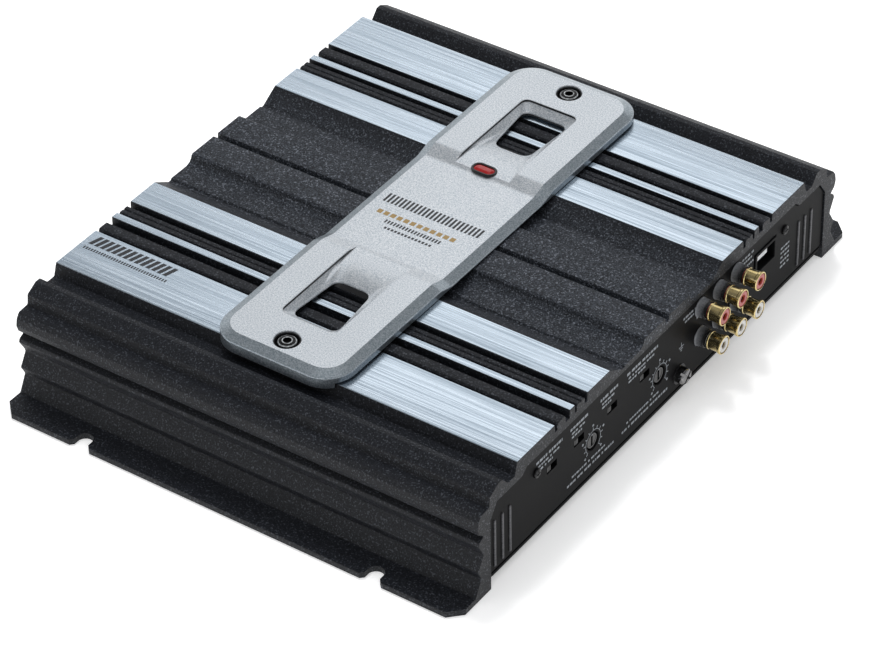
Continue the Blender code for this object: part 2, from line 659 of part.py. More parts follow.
def jacks():
    block_low = PANEL_BACK - GAP - JACK_BLOCK_DEPTH
    side = JACK_BOSS_RADIUS + JACK_BLOCK_SIDE
    top = JACK_Z + JACK_RISE + JACK_BOSS_RADIUS + JACK_BLOCK_TOP
    low = (block_low, JACK_Y - side, BOARD_TOP + GAP)
    high = (PANEL_BACK - GAP, JACK_Y + 2 * JACK_PITCH + side, top)
    block = add("jack_block", box(low, high), "black_plastic")
    boss_end = PANEL_FACE + JACK_BOSS_OUT
    shell_end = boss_end + GAP + JACK_SHELL_OUT
    insert_face = shell_end - JACK_FACE_RECESS
    boss_root = PANEL_BACK - 2 * MM
    core = JACK_SHELL_RADIUS - JACK_SHELL_WALL - GAP
    bosses = []
    for y, z in jack_places():
        profile = [(0, boss_root), (JACK_BOSS_RADIUS, boss_root), (JACK_BOSS_RADIUS, boss_end)]
        profile += [(core, boss_end), (core, insert_face), (JACK_PIN_RADIUS, insert_face)]
        profile += [(JACK_PIN_RADIUS, boss_end), (0, boss_end)]
        bosses.append(turned(profile, (0, y, z), (1, 0, 0), 20))
    change(block, joined(*bosses), "UNION")
    start = boss_end + GAP
    inner = JACK_SHELL_RADIUS - JACK_SHELL_WALL
    barrel = JACK_SHELL_RADIUS - JACK_FLARE
    lip = shell_end - JACK_LIP
    profile = [(inner, start), (barrel, start), (barrel, lip - JACK_FLARE), (JACK_SHELL_RADIUS, lip)]
    profile += [(JACK_SHELL_RADIUS, shell_end), (inner, shell_end)]
    for number, (y, z) in enumerate(jack_places(), 1):
        work = turned(profile, (0, y, z), (1, 0, 0), 20)
        add(f"jack_shell_{number}", work, "gold", (shell_end, y, z), True)


def gain_controls():
    face = PANEL_FACE - DIAL_RECESS
    shaft_end = PANEL_BACK - SHAFT_LENGTH
    front = PANEL_BACK - POT_GAP
    half = POT_SIZE / 2
    profile = [(0, shaft_end), (SHAFT_RADIUS, shaft_end), (SHAFT_RADIUS, face - DIAL_THICK)]
    profile += [(DIAL_RADIUS, face - DIAL_THICK), (DIAL_RADIUS, face), (0, face)]
    for letter, y in zip("ab", GAIN_Y):
        centre = (0, y, GAIN_Z)
        work = turned(profile, centre, (1, 0, 0), 20)
        dial = add(f"gain_dial_{letter}", work, "black_plastic", (face, y, GAIN_Z), True)
        low = (face - DIAL_SLOT_DEPTH, y - DIAL_SLOT_WIDTH / 2, GAIN_Z - DIAL_SLOT_LENGTH / 2)
        high = (face + MM, y + DIAL_SLOT_WIDTH / 2, GAIN_Z + DIAL_SLOT_LENGTH / 2)
        change(dial, box(low, high), "DIFFERENCE")
        low = (front - POT_DEPTH, y - half, GAIN_Z - half)
        pot = add(f"gain_pot_{letter}", box(low, (front, y + half, GAIN_Z + half)), "black_plastic")
        bore = rod(SHAFT_RADIUS + RUNNING, centre, (1, 0, 0), shaft_end - MM, front + MM, 12)
        change(pot, bore, "DIFFERENCE")


def slide_switches():
    front = PANEL_BACK - GAP
    for number, y in enumerate(SWITCH_Y, 1):
        left, right, under, over = switch_slot(y)
        middle = (left + right) / 2
        half = SWITCH_BODY_HEIGHT / 2
        low = (front - SWITCH_BODY_DEPTH, middle - SWITCH_BODY / 2, SWITCH_Z - half)
        high = (front, middle + SWITCH_BODY / 2, SWITCH_Z + half)
        body = add(f"switch_body_{number}", box(low, high), "steel")
        well = box((front - SWITCH_WELL, left, under), (front + MM, right, over))
        change(body, well, "DIFFERENCE")
        half = SWITCH_HEIGHT / 2
        knob_low = (front - SWITCH_KNOB_DEPTH, y - SWITCH_KNOB / 2, SWITCH_Z - half)
        knob_high = (PANEL_FACE - SWITCH_RECESS, y + SWITCH_KNOB / 2, SWITCH_Z + half)
        add(f"switch_knob_{number}", box(knob_low, knob_high), "black_plastic", (PANEL_FACE, y, SWITCH_Z))


def slotted(obj, seat, screw, outward, angle=0.0):
    """A driver slot across a screw's head."""
    long, half_width = screw.head + MM, 0.5 * MM
    floor = 0.55 * screw.thick
    slot = box((floor, -long, -half_width), (screw.thick + MM, long, half_width))
    slot.transform(Matrix.Rotation(angle, 4, "X"))
    if outward < 0:
        slot.transform(Matrix.Rotation(pi, 4, "Z"))
    slot.transform(Matrix.Translation(Vector(seat)))
    change(obj, slot, "DIFFERENCE")


def ground_terminal():
    seat = (PANEL_FACE + GAP, GROUND_Y, GROUND_Z)
    screw = GROUND_SCREW.place("ground_screw", seat, (1, 0, 0), "steel")
    slotted(screw, seat, GROUND_SCREW, 1, pi / 4)


def input_socket():
    wide, tall = SOCKET_WIDTH / 2, SOCKET_HEIGHT / 2
    mouth = PANEL_FACE + SOCKET_PROUD
    floor = mouth - SOCKET_DEPTH
    low = (floor - SOCKET_WALL, SOCKET_Y - wide, SOCKET_Z - tall)
    socket = add("input_socket", box(low, (mouth, SOCKET_Y + wide, SOCKET_Z + tall)), "black_plastic")
    wide, tall = wide - SOCKET_WALL, tall - SOCKET_WALL
    low = (floor, SOCKET_Y - wide, SOCKET_Z - tall)
    change(socket, box(low, (mouth + MM, SOCKET_Y + wide, SOCKET_Z + tall)), "DIFFERENCE")


def terminal_block(name, start, bays, bay, screw):
    """A moulded strip of screw terminals: barriers stand between the bays, and each screw clamps a lug."""
    back = -(PANEL_BACK - GAP - TERMINAL_DEPTH)
    seat = -(PANEL_BACK + SEAT_PROUD)
    tip = -(PANEL_FACE + BARRIER_OUT)
    pitch = bay + BARRIER
    outline = [(back, start), (tip, start)]
    for number in range(bays):
        y = start + BARRIER + number * pitch
        outline += [(tip, y), (seat, y), (seat, y + bay), (tip, y + bay)]
    stop = start + BARRIER + bays * pitch
    outline += [(tip, stop), (back, stop)]
    block = add(f"{name}_block", prism(outline, "Z", TERMINAL_UNDER, TERMINAL_TOP), "black_plastic")
    centres = [start + BARRIER + bay / 2 + number * pitch for number in range(bays)]
    z = TERMINAL_TOP - bay / 2 - SCREW_DROP
    holes = []
    for y in centres:
        holes.append(rod(screw.shank + GAP, (seat, y, z), (1, 0, 0), -MM, screw.length + MM, 12))
    change(block, joined(*holes), "DIFFERENCE")
    for number, y in enumerate(centres, 1):
        place = (seat - GAP, y, z)
        made = screw.place(f"{name}_screw_{number}", place, (-1, 0, 0), "steel")
        slotted(made, place, screw, -1, number * SLOT_TURN)
    return start, stop


def fuses():
    """Two blade fuses that pull straight out of their holder. It gives back the holder's edges."""
    front = -(PANEL_FACE + GAP)
    head_back = front + FUSE_DEPTH
    side = FUSE_THICK / 2 + RUNNING + HOLDER_WALL
    low = (front, FUSE_Y[0] - side, FUSE_UNDER - RUNNING - HOLDER_WALL)
    high = (head_back + BLADE_LENGTH, FUSE_Y[1] + side, FUSE_UNDER + FUSE_WIDTH + RUNNING + HOLDER_WALL)
    holder = add("fuse_holder", box(low, high), "black_plastic")
    heads, slots = [], []
    for number, y in enumerate(FUSE_Y, 1):
        fuse_low = (front - FUSE_OUT, y - FUSE_THICK / 2, FUSE_UNDER)
        fuse_high = (head_back - RUNNING, y + FUSE_THICK / 2, FUSE_UNDER + FUSE_WIDTH)
        grip = (front - FUSE_OUT, y, FUSE_UNDER + FUSE_WIDTH / 2)
        fuse = add(f"fuse_{number}", box(fuse_low, fuse_high), "fuse_amber", grip)
        room_low = (front - MM, y - FUSE_THICK / 2 - RUNNING, FUSE_UNDER - RUNNING)
        room_high = (head_back, y + FUSE_THICK / 2 + RUNNING, FUSE_UNDER + FUSE_WIDTH + RUNNING)
        heads.append(box(room_low, room_high))
        blades = []
        for z in (FUSE_UNDER + BLADE_INSET, FUSE_UNDER + FUSE_WIDTH - BLADE_INSET):
            root = head_back - BLADE_ROOT
            blades.append(blade(root, root + BLADE_LENGTH, y, z, 0))
            slots.append(blade(head_back - MM, root + BLADE_LENGTH + 0.4 * MM, y, z, BLADE_CLEAR))
        change(fuse, joined(*blades), "UNION")
    change(holder, joined(*heads), "DIFFERENCE")
    change(holder, joined(*slots), "DIFFERENCE")
    return low[1], high[1], low[2], high[2]


def blade(start, stop, y, z, grow):
    half_thick, half_wide = BLADE_THICK / 2 + grow, BLADE_WIDTH / 2 + grow
    return box((start, y - half_thick, z - half_wide), (stop, y + half_thick, z + half_wide))


def power_panel():
    outside = PANEL_FACE + MM
    inside = PANEL_BACK - MM
    cuts = []
    for start, stop in (
        terminal_block("speaker", SPEAKER_FROM, SPEAKER_BAYS, SPEAKER_BAY, SPEAKER_SCREW),
        terminal_block("power", POWER_FROM, POWER_BAYS, POWER_BAY, POWER_SCREW),
    ):
        low = (-outside, start - GAP, TERMINAL_UNDER - GAP)
        cuts.append(box(low, (-inside, stop + GAP, TERMINAL_TOP + GAP)))
    low_y, high_y, low_z, high_z = fuses()
    cuts.append(box((-outside, low_y - GAP, low_z - GAP), (-inside, high_y + GAP, high_z + GAP)))
    end_panel("power_panel", -1, cuts)


def base():
    half_x = LENGTH / 2 - PANEL_RECESS
    half_y = OPENING - GAP
    sheet = box((-half_x, -half_y, BASE_UNDER), (half_x, half_y, BASE_UNDER + BASE_THICK))
    plate = add("base_plate", sheet, "black_panel")
    holes = []
    for end in (-1, 1):
        for side in (-1, 1):
            x, y = end * (LENGTH / 2 - BASE_SCREW_INSET), side * (OPENING - LEDGE_OUT / 2)
            foot = (x, y, BASE_UNDER)
            holes.append(rod(BASE_SCREW.shank + GAP, foot, (0, 0, 1), -MM, BASE_THICK + MM, 12))
            label = f"base_screw_{'rear' if end < 0 else 'front'}_{'near' if side < 0 else 'far'}"
            BASE_SCREW.place(label, (x, y, BASE_UNDER - GAP), (0, 0, -1), "black_screw")
    change(plate, joined(*holes), "DIFFERENCE")


def board():
    half_x = PANEL_BACK - BOARD_END_GAP
    half_y = OPENING - GAP
    sheet = box((-half_x, -half_y, BOARD_UNDER), (half_x, half_y, BOARD_TOP))
    add("circuit_board", sheet, "board_green")
    ring_x = -half_x + 3 * RING_RADIUS
    transformer((ring_x, POWER_FROM, BOARD_TOP + GAP))
    for number, side in ((1, -1), (2, 1)):
        y = POWER_FROM + side * (CAN_RADIUS + MM)
        capacitor(f"reservoir_capacitor_{number}", (ring_x + 2 * RING_RADIUS, y, BOARD_TOP + GAP))
    for name, side in (("near", -1), ("far", 1)):
        transistor_clamp(name, side)


def transformer(foot):
    """A ring core under its winding, with the winding's rounded corners."""
    inner, outer = RING_BORE, RING_RADIUS
    corner = RING_CORNER
    profile = [(inner, corner), (inner + corner, 0), (outer - corner, 0), (outer, corner)]
    profile += [(outer, RING_HEIGHT - corner), (outer - corner, RING_HEIGHT)]
    profile += [(inner + corner, RING_HEIGHT), (inner, RING_HEIGHT - corner)]
    add("supply_transformer", turned(profile, foot, (0, 0, 1), 24), "copper_wire", smooth=True)


def capacitor(name, foot):
    edge = MM
    profile = [(0, 0), (CAN_RADIUS, 0), (CAN_RADIUS, CAN_HEIGHT - edge)]
    profile += [(CAN_RADIUS - edge, CAN_HEIGHT), (0, CAN_HEIGHT)]
    add(name, turned(profile, foot, (0, 0, 1), 20), "can_sleeve", foot, True)


def transistor_clamp(name, side):
    """A bar along the side wall, bent out in the middle, that presses the transistors to the shell."""
    wall = OPENING - CLAMP_CLEAR
    foot = BOARD_TOP + CLAMP_LIFT
    top = foot + CLAMP_HEIGHT
    outline = [(wall, foot), (wall, top), (wall - CLAMP_EDGE, top)]
    outline += [(wall - CLAMP_MIDDLE, (foot + top) / 2), (wall - CLAMP_EDGE, foot)]
    bar = prism([(side * y, z) for y, z in outline], "X", -CLAMP_LENGTH / 2, CLAMP_LENGTH / 2)
    add(f"transistor_clamp_{name}", bar, "steel")


clear_scene()
heatsink()
cover_plate()
cover_fittings()
control_panel()
jacks()
gain_controls()
slide_switches()
ground_terminal()
input_socket()
power_panel()
base()
board()
for piece in bpy.data.objects:
    piece.location.x += FRAME_SHIFT
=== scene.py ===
"""Four-channel car amplifier, dressed for its picture: each section below is one piece or a group of like
pieces, in the order the amplifier is put together. Sizes are metres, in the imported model's frame: X runs
along the extrusion towards the control panel, Y across it, Z up."""

from math import cos, pi, radians, sin, sqrt

import bmesh
import bpy
from mathutils import Matrix, Vector


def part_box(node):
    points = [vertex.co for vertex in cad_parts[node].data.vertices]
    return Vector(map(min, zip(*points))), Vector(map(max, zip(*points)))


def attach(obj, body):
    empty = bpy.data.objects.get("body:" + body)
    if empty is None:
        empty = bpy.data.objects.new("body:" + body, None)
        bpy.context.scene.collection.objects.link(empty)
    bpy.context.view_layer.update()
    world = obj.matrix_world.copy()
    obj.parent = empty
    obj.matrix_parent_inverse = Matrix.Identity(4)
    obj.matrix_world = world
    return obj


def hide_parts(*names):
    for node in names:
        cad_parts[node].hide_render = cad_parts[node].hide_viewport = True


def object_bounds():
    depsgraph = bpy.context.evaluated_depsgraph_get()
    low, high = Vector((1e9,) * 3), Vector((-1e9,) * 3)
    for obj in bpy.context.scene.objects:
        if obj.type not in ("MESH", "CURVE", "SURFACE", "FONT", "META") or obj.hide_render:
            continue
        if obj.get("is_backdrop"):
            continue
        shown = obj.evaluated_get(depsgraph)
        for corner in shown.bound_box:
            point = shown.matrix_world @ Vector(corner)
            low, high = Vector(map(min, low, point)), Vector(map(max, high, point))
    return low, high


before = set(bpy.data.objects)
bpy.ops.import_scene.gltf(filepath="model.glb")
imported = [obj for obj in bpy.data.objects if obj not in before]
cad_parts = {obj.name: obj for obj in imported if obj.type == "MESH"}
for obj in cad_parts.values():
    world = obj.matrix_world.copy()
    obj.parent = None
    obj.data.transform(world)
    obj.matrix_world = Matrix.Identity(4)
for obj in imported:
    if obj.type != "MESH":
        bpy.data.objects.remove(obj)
cad_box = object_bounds()

# The camera looks down on the near side and the control end, from a little way off with a long lens. It is
# turned and raised about the middle of the extrusion, and rolled by a degree.
MM = 0.001
shell_low, shell_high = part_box("heatsink_shell")
MIDDLE = (shell_low.x + shell_high.x) / 2  # of the extrusion, along X
CAMERA_TURN = radians(35.64)
CAMERA_RISE = radians(38.44)
CAMERA_ROLL = radians(-1.34)
CAMERA_AWAY = Vector((-0.7 * MM, -2.3 * MM, 1409 * MM))
# the sensor's width and the lens, as a camera maker gives them
SENSOR = 36
FOCAL = 158.04373

back = Vector((sin(CAMERA_TURN) * cos(CAMERA_RISE), -cos(CAMERA_TURN) * cos(CAMERA_RISE), sin(CAMERA_RISE)))
right = Vector((cos(CAMERA_TURN), sin(CAMERA_TURN), 0))
up = back.cross(right)
sight = Matrix.Identity(3)
sight.col[0] = right * cos(CAMERA_ROLL) + up * sin(CAMERA_ROLL)
sight.col[1] = -right * sin(CAMERA_ROLL) + up * cos(CAMERA_ROLL)
sight.col[2] = back
camera_data = bpy.data.cameras.new("camera")
camera_data.sensor_width = SENSOR
camera_data.lens = FOCAL
camera_data.clip_start = 0.05
camera = bpy.data.objects.new("camera", camera_data)
camera.matrix_world = Matrix.Translation(sight @ CAMERA_AWAY + Vector((MIDDLE, 0, 0))) @ sight.to_4x4()
bpy.context.collection.objects.link(camera)
bpy.context.scene.camera = camera
bpy.context.scene.view_settings.view_transform = "Standard"


# Floor and light. A plain white sheet lit from below as well as above, a small soft key above the rear
# left that throws the shadow past the control end, white cards that the bare metal mirrors, and an even
# surround.
class Wire:
    """A shader socket. Arithmetic on it adds Math nodes, and node() adds any other node beside it."""

    def __init__(self, tree, socket=None):
        self.tree = tree
        self.socket = socket

    def node(self, kind, settings, inputs, out=0):
        made = self.tree.nodes.new("ShaderNode" + kind)
        for name, value in settings.items():
            setattr(made, name, value)
        for name, value in inputs.items():
            if isinstance(value, Wire):
                self.tree.links.new(value.socket, made.inputs[name])
            else:
                made.inputs[name].default_value = value
        return Wire(self.tree, made.outputs[out] if made.outputs else None)

    def sum(self, operation, *values):
        return self.node("Math", {"operation": operation}, dict(enumerate(values)))

    def __add__(self, other):
        return self.sum("ADD", self, other)

    def __sub__(self, other):
        return self.sum("SUBTRACT", self, other)

    def __mul__(self, other):
        return self.sum("MULTIPLY", self, other)

    def __rsub__(self, other):
        return self.sum("SUBTRACT", other, self)

    __radd__ = __add__
    __rmul__ = __mul__

    def size(self):
        return self.sum("ABSOLUTE", self)

    def root(self):
        return self.sum("SQRT", self)

    def above(self, edge):
        return self.sum("GREATER_THAN", self, edge)

    def below(self, edge):
        return self.sum("LESS_THAN", self, edge)

    def over(self, low, high):
        """From 0 at low to 1 at high."""
        return self.node("MapRange", {"clamp": True}, {0: self, 1: low, 2: high, 3: 0.0, 4: 1.0})

    def part(self, axis):
        return self.node("SeparateXYZ", {}, {0: self}, "XYZ".index(axis))

    def scaled(self, by):
        return self.node("VectorMath", {"operation": "MULTIPLY"}, {0: self, 1: by})

    def noise(self, scale, detail=2.0, roughness=0.5):
        """Soft blotches, with a scale in blotches a metre."""
        inputs = {"Vector": self, "Scale": scale, "Detail": detail, "Roughness": roughness}
        return self.node("TexNoise", {"noise_dimensions": "3D"}, inputs)


def tinted(colour):
    return (*colour, 1)


def mixed(factor, low, high):
    """A colour between two, each a Wire or three numbers."""
    ends = [value if isinstance(value, Wire) else tinted(value) for value in (low, high)]
    return factor.node("Mix", {"data_type": "RGBA"}, {0: factor, 6: ends[0], 7: ends[1]}, 2)


def finish(name, make):
    """A material: make() takes the Wire its nodes come from and their place on the object, and returns the
    sockets of a Principled shader by name."""
    made = bpy.data.materials.new(name)
    made.use_nodes = True
    made.node_tree.nodes.clear()
    wire = Wire(made.node_tree)
    place = wire.node("TexCoord", {}, {}, 3)
    sockets = make(wire, place)
    for key, value in sockets.items():
        if isinstance(value, tuple):
            sockets[key] = tinted(value)
    shader = wire.node("BsdfPrincipled", {}, sockets)
    wire.node("OutputMaterial", {}, {"Surface": shader})
    return made


def bumped(height, depth, strength):
    """A normal from a height between 0 and 1, which stands for a depth in metres."""
    return height.node("Bump", {}, {"Height": height, "Distance": depth, "Strength": strength})


def white_card(wire, place):
    grain = place.noise(900, 3)
    return {
        "Base Color": mixed(grain, (0.96, 0.96, 0.96), (0.98, 0.98, 0.98)),
        "Roughness": 0.9,
        "Specular IOR Level": 0.1,
        "Emission Color": (1.0, 1.0, 1.0),
        "Emission Strength": 0.4,
    }


FLOOR_REACH = 6.0
floor_mesh = bpy.data.meshes.new("floor")
corners = [(x * FLOOR_REACH, y * FLOOR_REACH, 0) for x, y in ((-1, -1), (1, -1), (1, 1), (-1, 1))]
floor_mesh.from_pydata(corners, [], [(0, 1, 2, 3)])
floor = bpy.data.objects.new("floor", floor_mesh)
floor.location.z = cad_box[0][2] - 0.05 * MM
floor_mesh.materials.append(finish("white_card", white_card))
bpy.context.collection.objects.link(floor)
floor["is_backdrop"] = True


def soft_light(name, place, aim, size, power, turn=0.0, mirrored=True, lights=True):
    """A soft box that faces its aim, turned about its own axis. One that isn't mirrored leaves no
    highlight, and a card that lights nothing is only seen in the bare metal."""
    light = bpy.data.lights.new(name, "AREA")
    light.shape = "RECTANGLE"
    light.size, light.size_y = size
    light.energy = power
    made = bpy.data.objects.new(name, light)
    made.location = place
    facing = (Vector(aim) - Vector(place)).to_track_quat("-Z", "Y").to_matrix()
    made.rotation_euler = (facing @ Matrix.Rotation(turn, 3, "Z")).to_euler()
    made.visible_glossy = mirrored
    made.visible_diffuse = lights
    bpy.context.collection.objects.link(made)


soft_light("key_light", (-0.5, 0.5, 2.1), (0, 0, 0), (0.35, 0.35), 14, mirrored=False)
soft_light("rear_card", (-0.742, 1.279, 1.554), (0, 0, 0.04), (1.0, 0.95), 2.8, turn=radians(-44))
soft_light("ceiling_light", (0, 0, 3), (0, 0, 0), (4, 4), 58, mirrored=False)
CARD_RING, CARD_HEIGHT = 3.2, 1.05
for number in range(8):
    turn = radians(45 * number)
    card_place = (CARD_RING * sin(turn), CARD_RING * cos(turn), CARD_HEIGHT)
    soft_light(f"wall_card_{number}", card_place, (0, 0, 0.3), (2.6, 1.5), 8, lights=False)
soft_light("overhead_card", (0, 0, 3.1), (0, 0, 0), (2.4, 2.4), 5, lights=False)
surround = bpy.data.worlds.new("surround")
surround.use_nodes = True
surround.node_tree.nodes["Background"].inputs["Color"].default_value = tinted((0.95, 0.97, 1.0))
surround.node_tree.nodes["Background"].inputs["Strength"].default_value = 0.22
bpy.context.scene.world = surround


# Heatsink shell: one aluminium extrusion, ribbed on its top and sides, sawn to length, with the mounting
# slots milled through its flanges. It is dyed black and grained, then its raised strips are brushed back
# to bare metal.
WIDTH = shell_high.y - shell_low.y
LENGTH = shell_high.x - shell_low.x
FLANGE_OUT = 11.1 * MM
FLANGE_THICK = 2.5 * MM
FLANGE_CORNER = 5 * MM
WALL_FOOT = WIDTH / 2 - FLANGE_OUT
OPENING = WALL_FOOT - 9.4 * MM
RAIL_PEAK = WALL_FOOT - 14.1 * MM
DECK_TOP = 45.1 * MM
DECK_UNDER = 39 * MM
VALLEY_FLOOR = 40 * MM
VALLEY_UNDER = 36.6 * MM
GROOVE_FLOOR = 42 * MM
SHOULDER = 31 * MM
SLOT_WIDTH = 6.4 * MM
SLOT_DEPTH = 6.6 * MM
SLOT_INSET = 36 * MM
SLOT_LIP = 1.4 * MM
SAWN_EDGE = 0.12 * MM
BROAD_RIBS = 35 * MM
panel_low, panel_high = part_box("control_panel")
PANEL_UNDER = panel_low.z - 0.3 * MM
LEDGE_OUT = 6 * MM
LEDGE_THICK = 2 * MM


def piece(name, work, finishes, body="root", smooth=radians(32), bevel=0.0):
    """One piece from mesh work in the frame's coordinates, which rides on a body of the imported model."""
    mesh = bpy.data.meshes.new(name)
    work.to_mesh(mesh)
    work.free()
    obj = bpy.data.objects.new(name, mesh)
    bpy.context.collection.objects.link(obj)
    for made in finishes if isinstance(finishes, (list, tuple)) else [finishes]:
        mesh.materials.append(made)
    if bevel:
        edge = obj.modifiers.new("edge", "BEVEL")
        edge.width = bevel
        edge.segments = 2
        edge.limit_method = "ANGLE"
        edge.angle_limit = smooth
        edge.miter_outer = "MITER_ARC"
    if smooth:
        mesh.shade_smooth()
        mesh.set_sharp_from_angle(angle=smooth)
    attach(obj, body)
    return obj


def face_outwards(work):
    bmesh.ops.recalc_face_normals(work, faces=work.faces)
    if work.calc_volume(signed=True) < 0:
        bmesh.ops.reverse_faces(work, faces=work.faces)


def lofted(rings, looped=False):
    """A skin through rings that have equal counts of points, closed by its two end faces or on itself."""
    work = bmesh.new()
    rows = [[work.verts.new(point) for point in ring] for ring in rings]
    pairs = list(zip(rows, rows[1:]))
    if looped:
        pairs.append((rows[-1], rows[0]))
    else:
        work.faces.new(rows[0])
        work.faces.new(rows[-1])
    for first, second in pairs:
        for i in range(len(first)):
            j = (i + 1) % len(first)
            work.faces.new((first[i], first[j], second[j], second[i]))
    face_outwards(work)
    return work


def joined(*works):
    whole = bmesh.new()
    for work in works:
        mesh = bpy.data.meshes.new("part")
        work.to_mesh(mesh)
        work.free()
        whole.from_mesh(mesh)
        bpy.data.meshes.remove(mesh)
    return whole


def set_along(outline, axis, along):
    """A flat outline stood up at a place on an axis; its two values are the other axes, in order."""
    stood = []
    for point in outline:
        place = list(point)
        place.insert("XYZ".index(axis), along)
        stood.append(Vector(place))
    return stood


def prism(outline, axis, low, high):
    return lofted([set_along(outline, axis, low), set_along(outline, axis, high)])


def finished(obj, node, angle=30):
    """Smooths a cut piece again, with sharp edges past an angle, and hides the imported node it stands for.
    """
    obj.data.shade_smooth()
    obj.data.set_sharp_from_angle(angle=radians(angle))
    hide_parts(node)


def box(low, high):
    outline = [(low[1], low[2]), (high[1], low[2]), (high[1], high[2]), (low[1], high[2])]
    return prism(outline, "X", low[0], high[0])


def rounded(outline, radii, steps=3):
    """An outline with its corners rounded. A radius is kept to under half of the sides that meet there."""
    if not isinstance(radii, (list, tuple)):
        radii = [radii] * len(outline)
    smooth = []
    for i, (corner, radius) in enumerate(zip(outline, radii)):
        corner = Vector(corner)
        before = Vector(outline[i - 1]) - corner
        after = Vector(outline[(i + 1) % len(outline)]) - corner
        bend = before.angle(after)
        if radius == 0 or pi - bend < radians(3):
            smooth.append(corner)
            continue
        reach = min(radius / abs(sin(bend / 2) / cos(bend / 2)), 0.48 * before.length, 0.48 * after.length)
        start = corner + before.normalized() * reach
        stop = corner + after.normalized() * reach
        for step in range(steps + 1):
            share = step / steps
            smooth.append(start.lerp(corner, share).lerp(corner.lerp(stop, share), share))
    return smooth


def inset(outline, distance):
    """An outline moved inwards by a distance on every side."""
    area = sum(a[0] * b[1] - b[0] * a[1] for a, b in zip(outline, outline[1:] + outline[:1]))
    side = distance if area > 0 else -distance
    moved = []
    for i, point in enumerate(outline):
        before = (Vector(point) - Vector(outline[i - 1])).normalized()
        after = (Vector(outline[(i + 1) % len(outline)]) - Vector(point)).normalized()
        first, second = Vector((-before.y, before.x)), Vector((-after.y, after.x))
        middle = (first + second).normalized()
        moved.append(Vector(point) + middle * side / max(middle.dot(second), 0.3))
    return moved


def circle(centre, radius, steps):
    turns = [2 * pi * i / steps for i in range(steps)]
    return [(centre[0] + radius * cos(turn), centre[1] + radius * sin(turn)) for turn in turns]


def cut(obj, *works):
    """Cuts other solids out of a piece, for good."""
    other = bpy.data.objects.new("cutter", bpy.data.meshes.new("cutter"))
    whole = joined(*works)
    whole.to_mesh(other.data)
    whole.free()
    bpy.context.collection.objects.link(other)
    modifier = obj.modifiers.new("cut", "BOOLEAN")
    modifier.operation = "DIFFERENCE"
    modifier.solver = "EXACT"
    modifier.use_self = True
    modifier.object = other
    obj.modifiers.move(len(obj.modifiers) - 1, 0)
    kept = [m for m in obj.modifiers if m != modifier]
    for m in kept:
        m.show_viewport = False
    graph = bpy.context.evaluated_depsgraph_get()
    mesh = bpy.data.meshes.new_from_object(obj.evaluated_get(graph))
    obj.modifiers.remove(modifier)
    for m in kept:
        m.show_viewport = True
    obj.data = mesh
    bpy.data.objects.remove(other, do_unlink=True)


def top_profile():
    """The ribs of the top out to the outer strip: (distance from the middle, height, corner radius)."""
    points = [(0, 42.5, 0), (0.9, 42.5, 0.2), (1.3, 45.0, 0.3), (14.2, 45.0, 0.35), (15.0, 44.5, 0.3)]
    points += [(15.4, 43.3, 0.6), (16.4, 42.2, 1), (18.2, 41.6, 0.8), (27.4, 41.6, 0.25), (27.9, 40.9, 0.3)]
    points += [(29.2, 40.9, 1.2), (36.6, 45.3, 0.4), (37.2, 45.6, 0.3), (51.0, 45.6, 0.25)]
    points += [(51.3, 45.3, 0.2), (51.4, 44, 0), (51.4, 42, 0.2), (52.9, 42, 0.2), (52.9, 44, 0)]
    points += [(53.4, 44.8, 0.3), (55.0, 44.8, 0.2), (55.4, 44.1, 0.2), (55.8, 44.8, 0.2)]
    points += [(57.6, 44.8, 0.3), (58, 44, 0), (58, 42, 0.2), (59, 42, 0.2), (59, 44, 0)]
    points += [(59.1, 45.4, 0.2), (62.2, 45.4, 0.2)]
    points += [(62.3, 44, 0), (62.3, 42, 0.2), (64.8, 42, 0.2), (64.8, 44, 0), (65.4, 44.9, 0.3)]
    points += [(69.4, 44.9, 0.3), (70, 44, 0), (70, 42, 0.2), (71.4, 42, 0.2), (71.4, 44, 0)]
    points += [(71.5, 45.1, 0.25)]
    return [(y * MM, z * MM, radius * MM) for y, z, radius in points]


def side_profile():
    """The ribs of the side, from the rail to the flange: (distance in from the foot, height, radius)."""
    points = [(14.1, 44.0, 0.4), (9.1, 41.3, 0.8), (8.6, 37.2, 0.7), (3.7, 36.9, 0.8), (2.2, 34.8, 0.9)]
    points += [(1.6, 31.9, 0.9), (2.4, 29.2, 0.8), (5.6, 27.0, 0.8), (2.6, 25.6, 0.5), (2.1, 24.2, 0.5)]
    points += [(4.6, 19.6, 0.8), (4.9, 18.3, 0.7), (1.6, 12.9, 0.9), (3.5, 9.1, 1)]
    return [(WALL_FOOT - inwards * MM, z * MM, radius * MM) for inwards, z, radius in points]


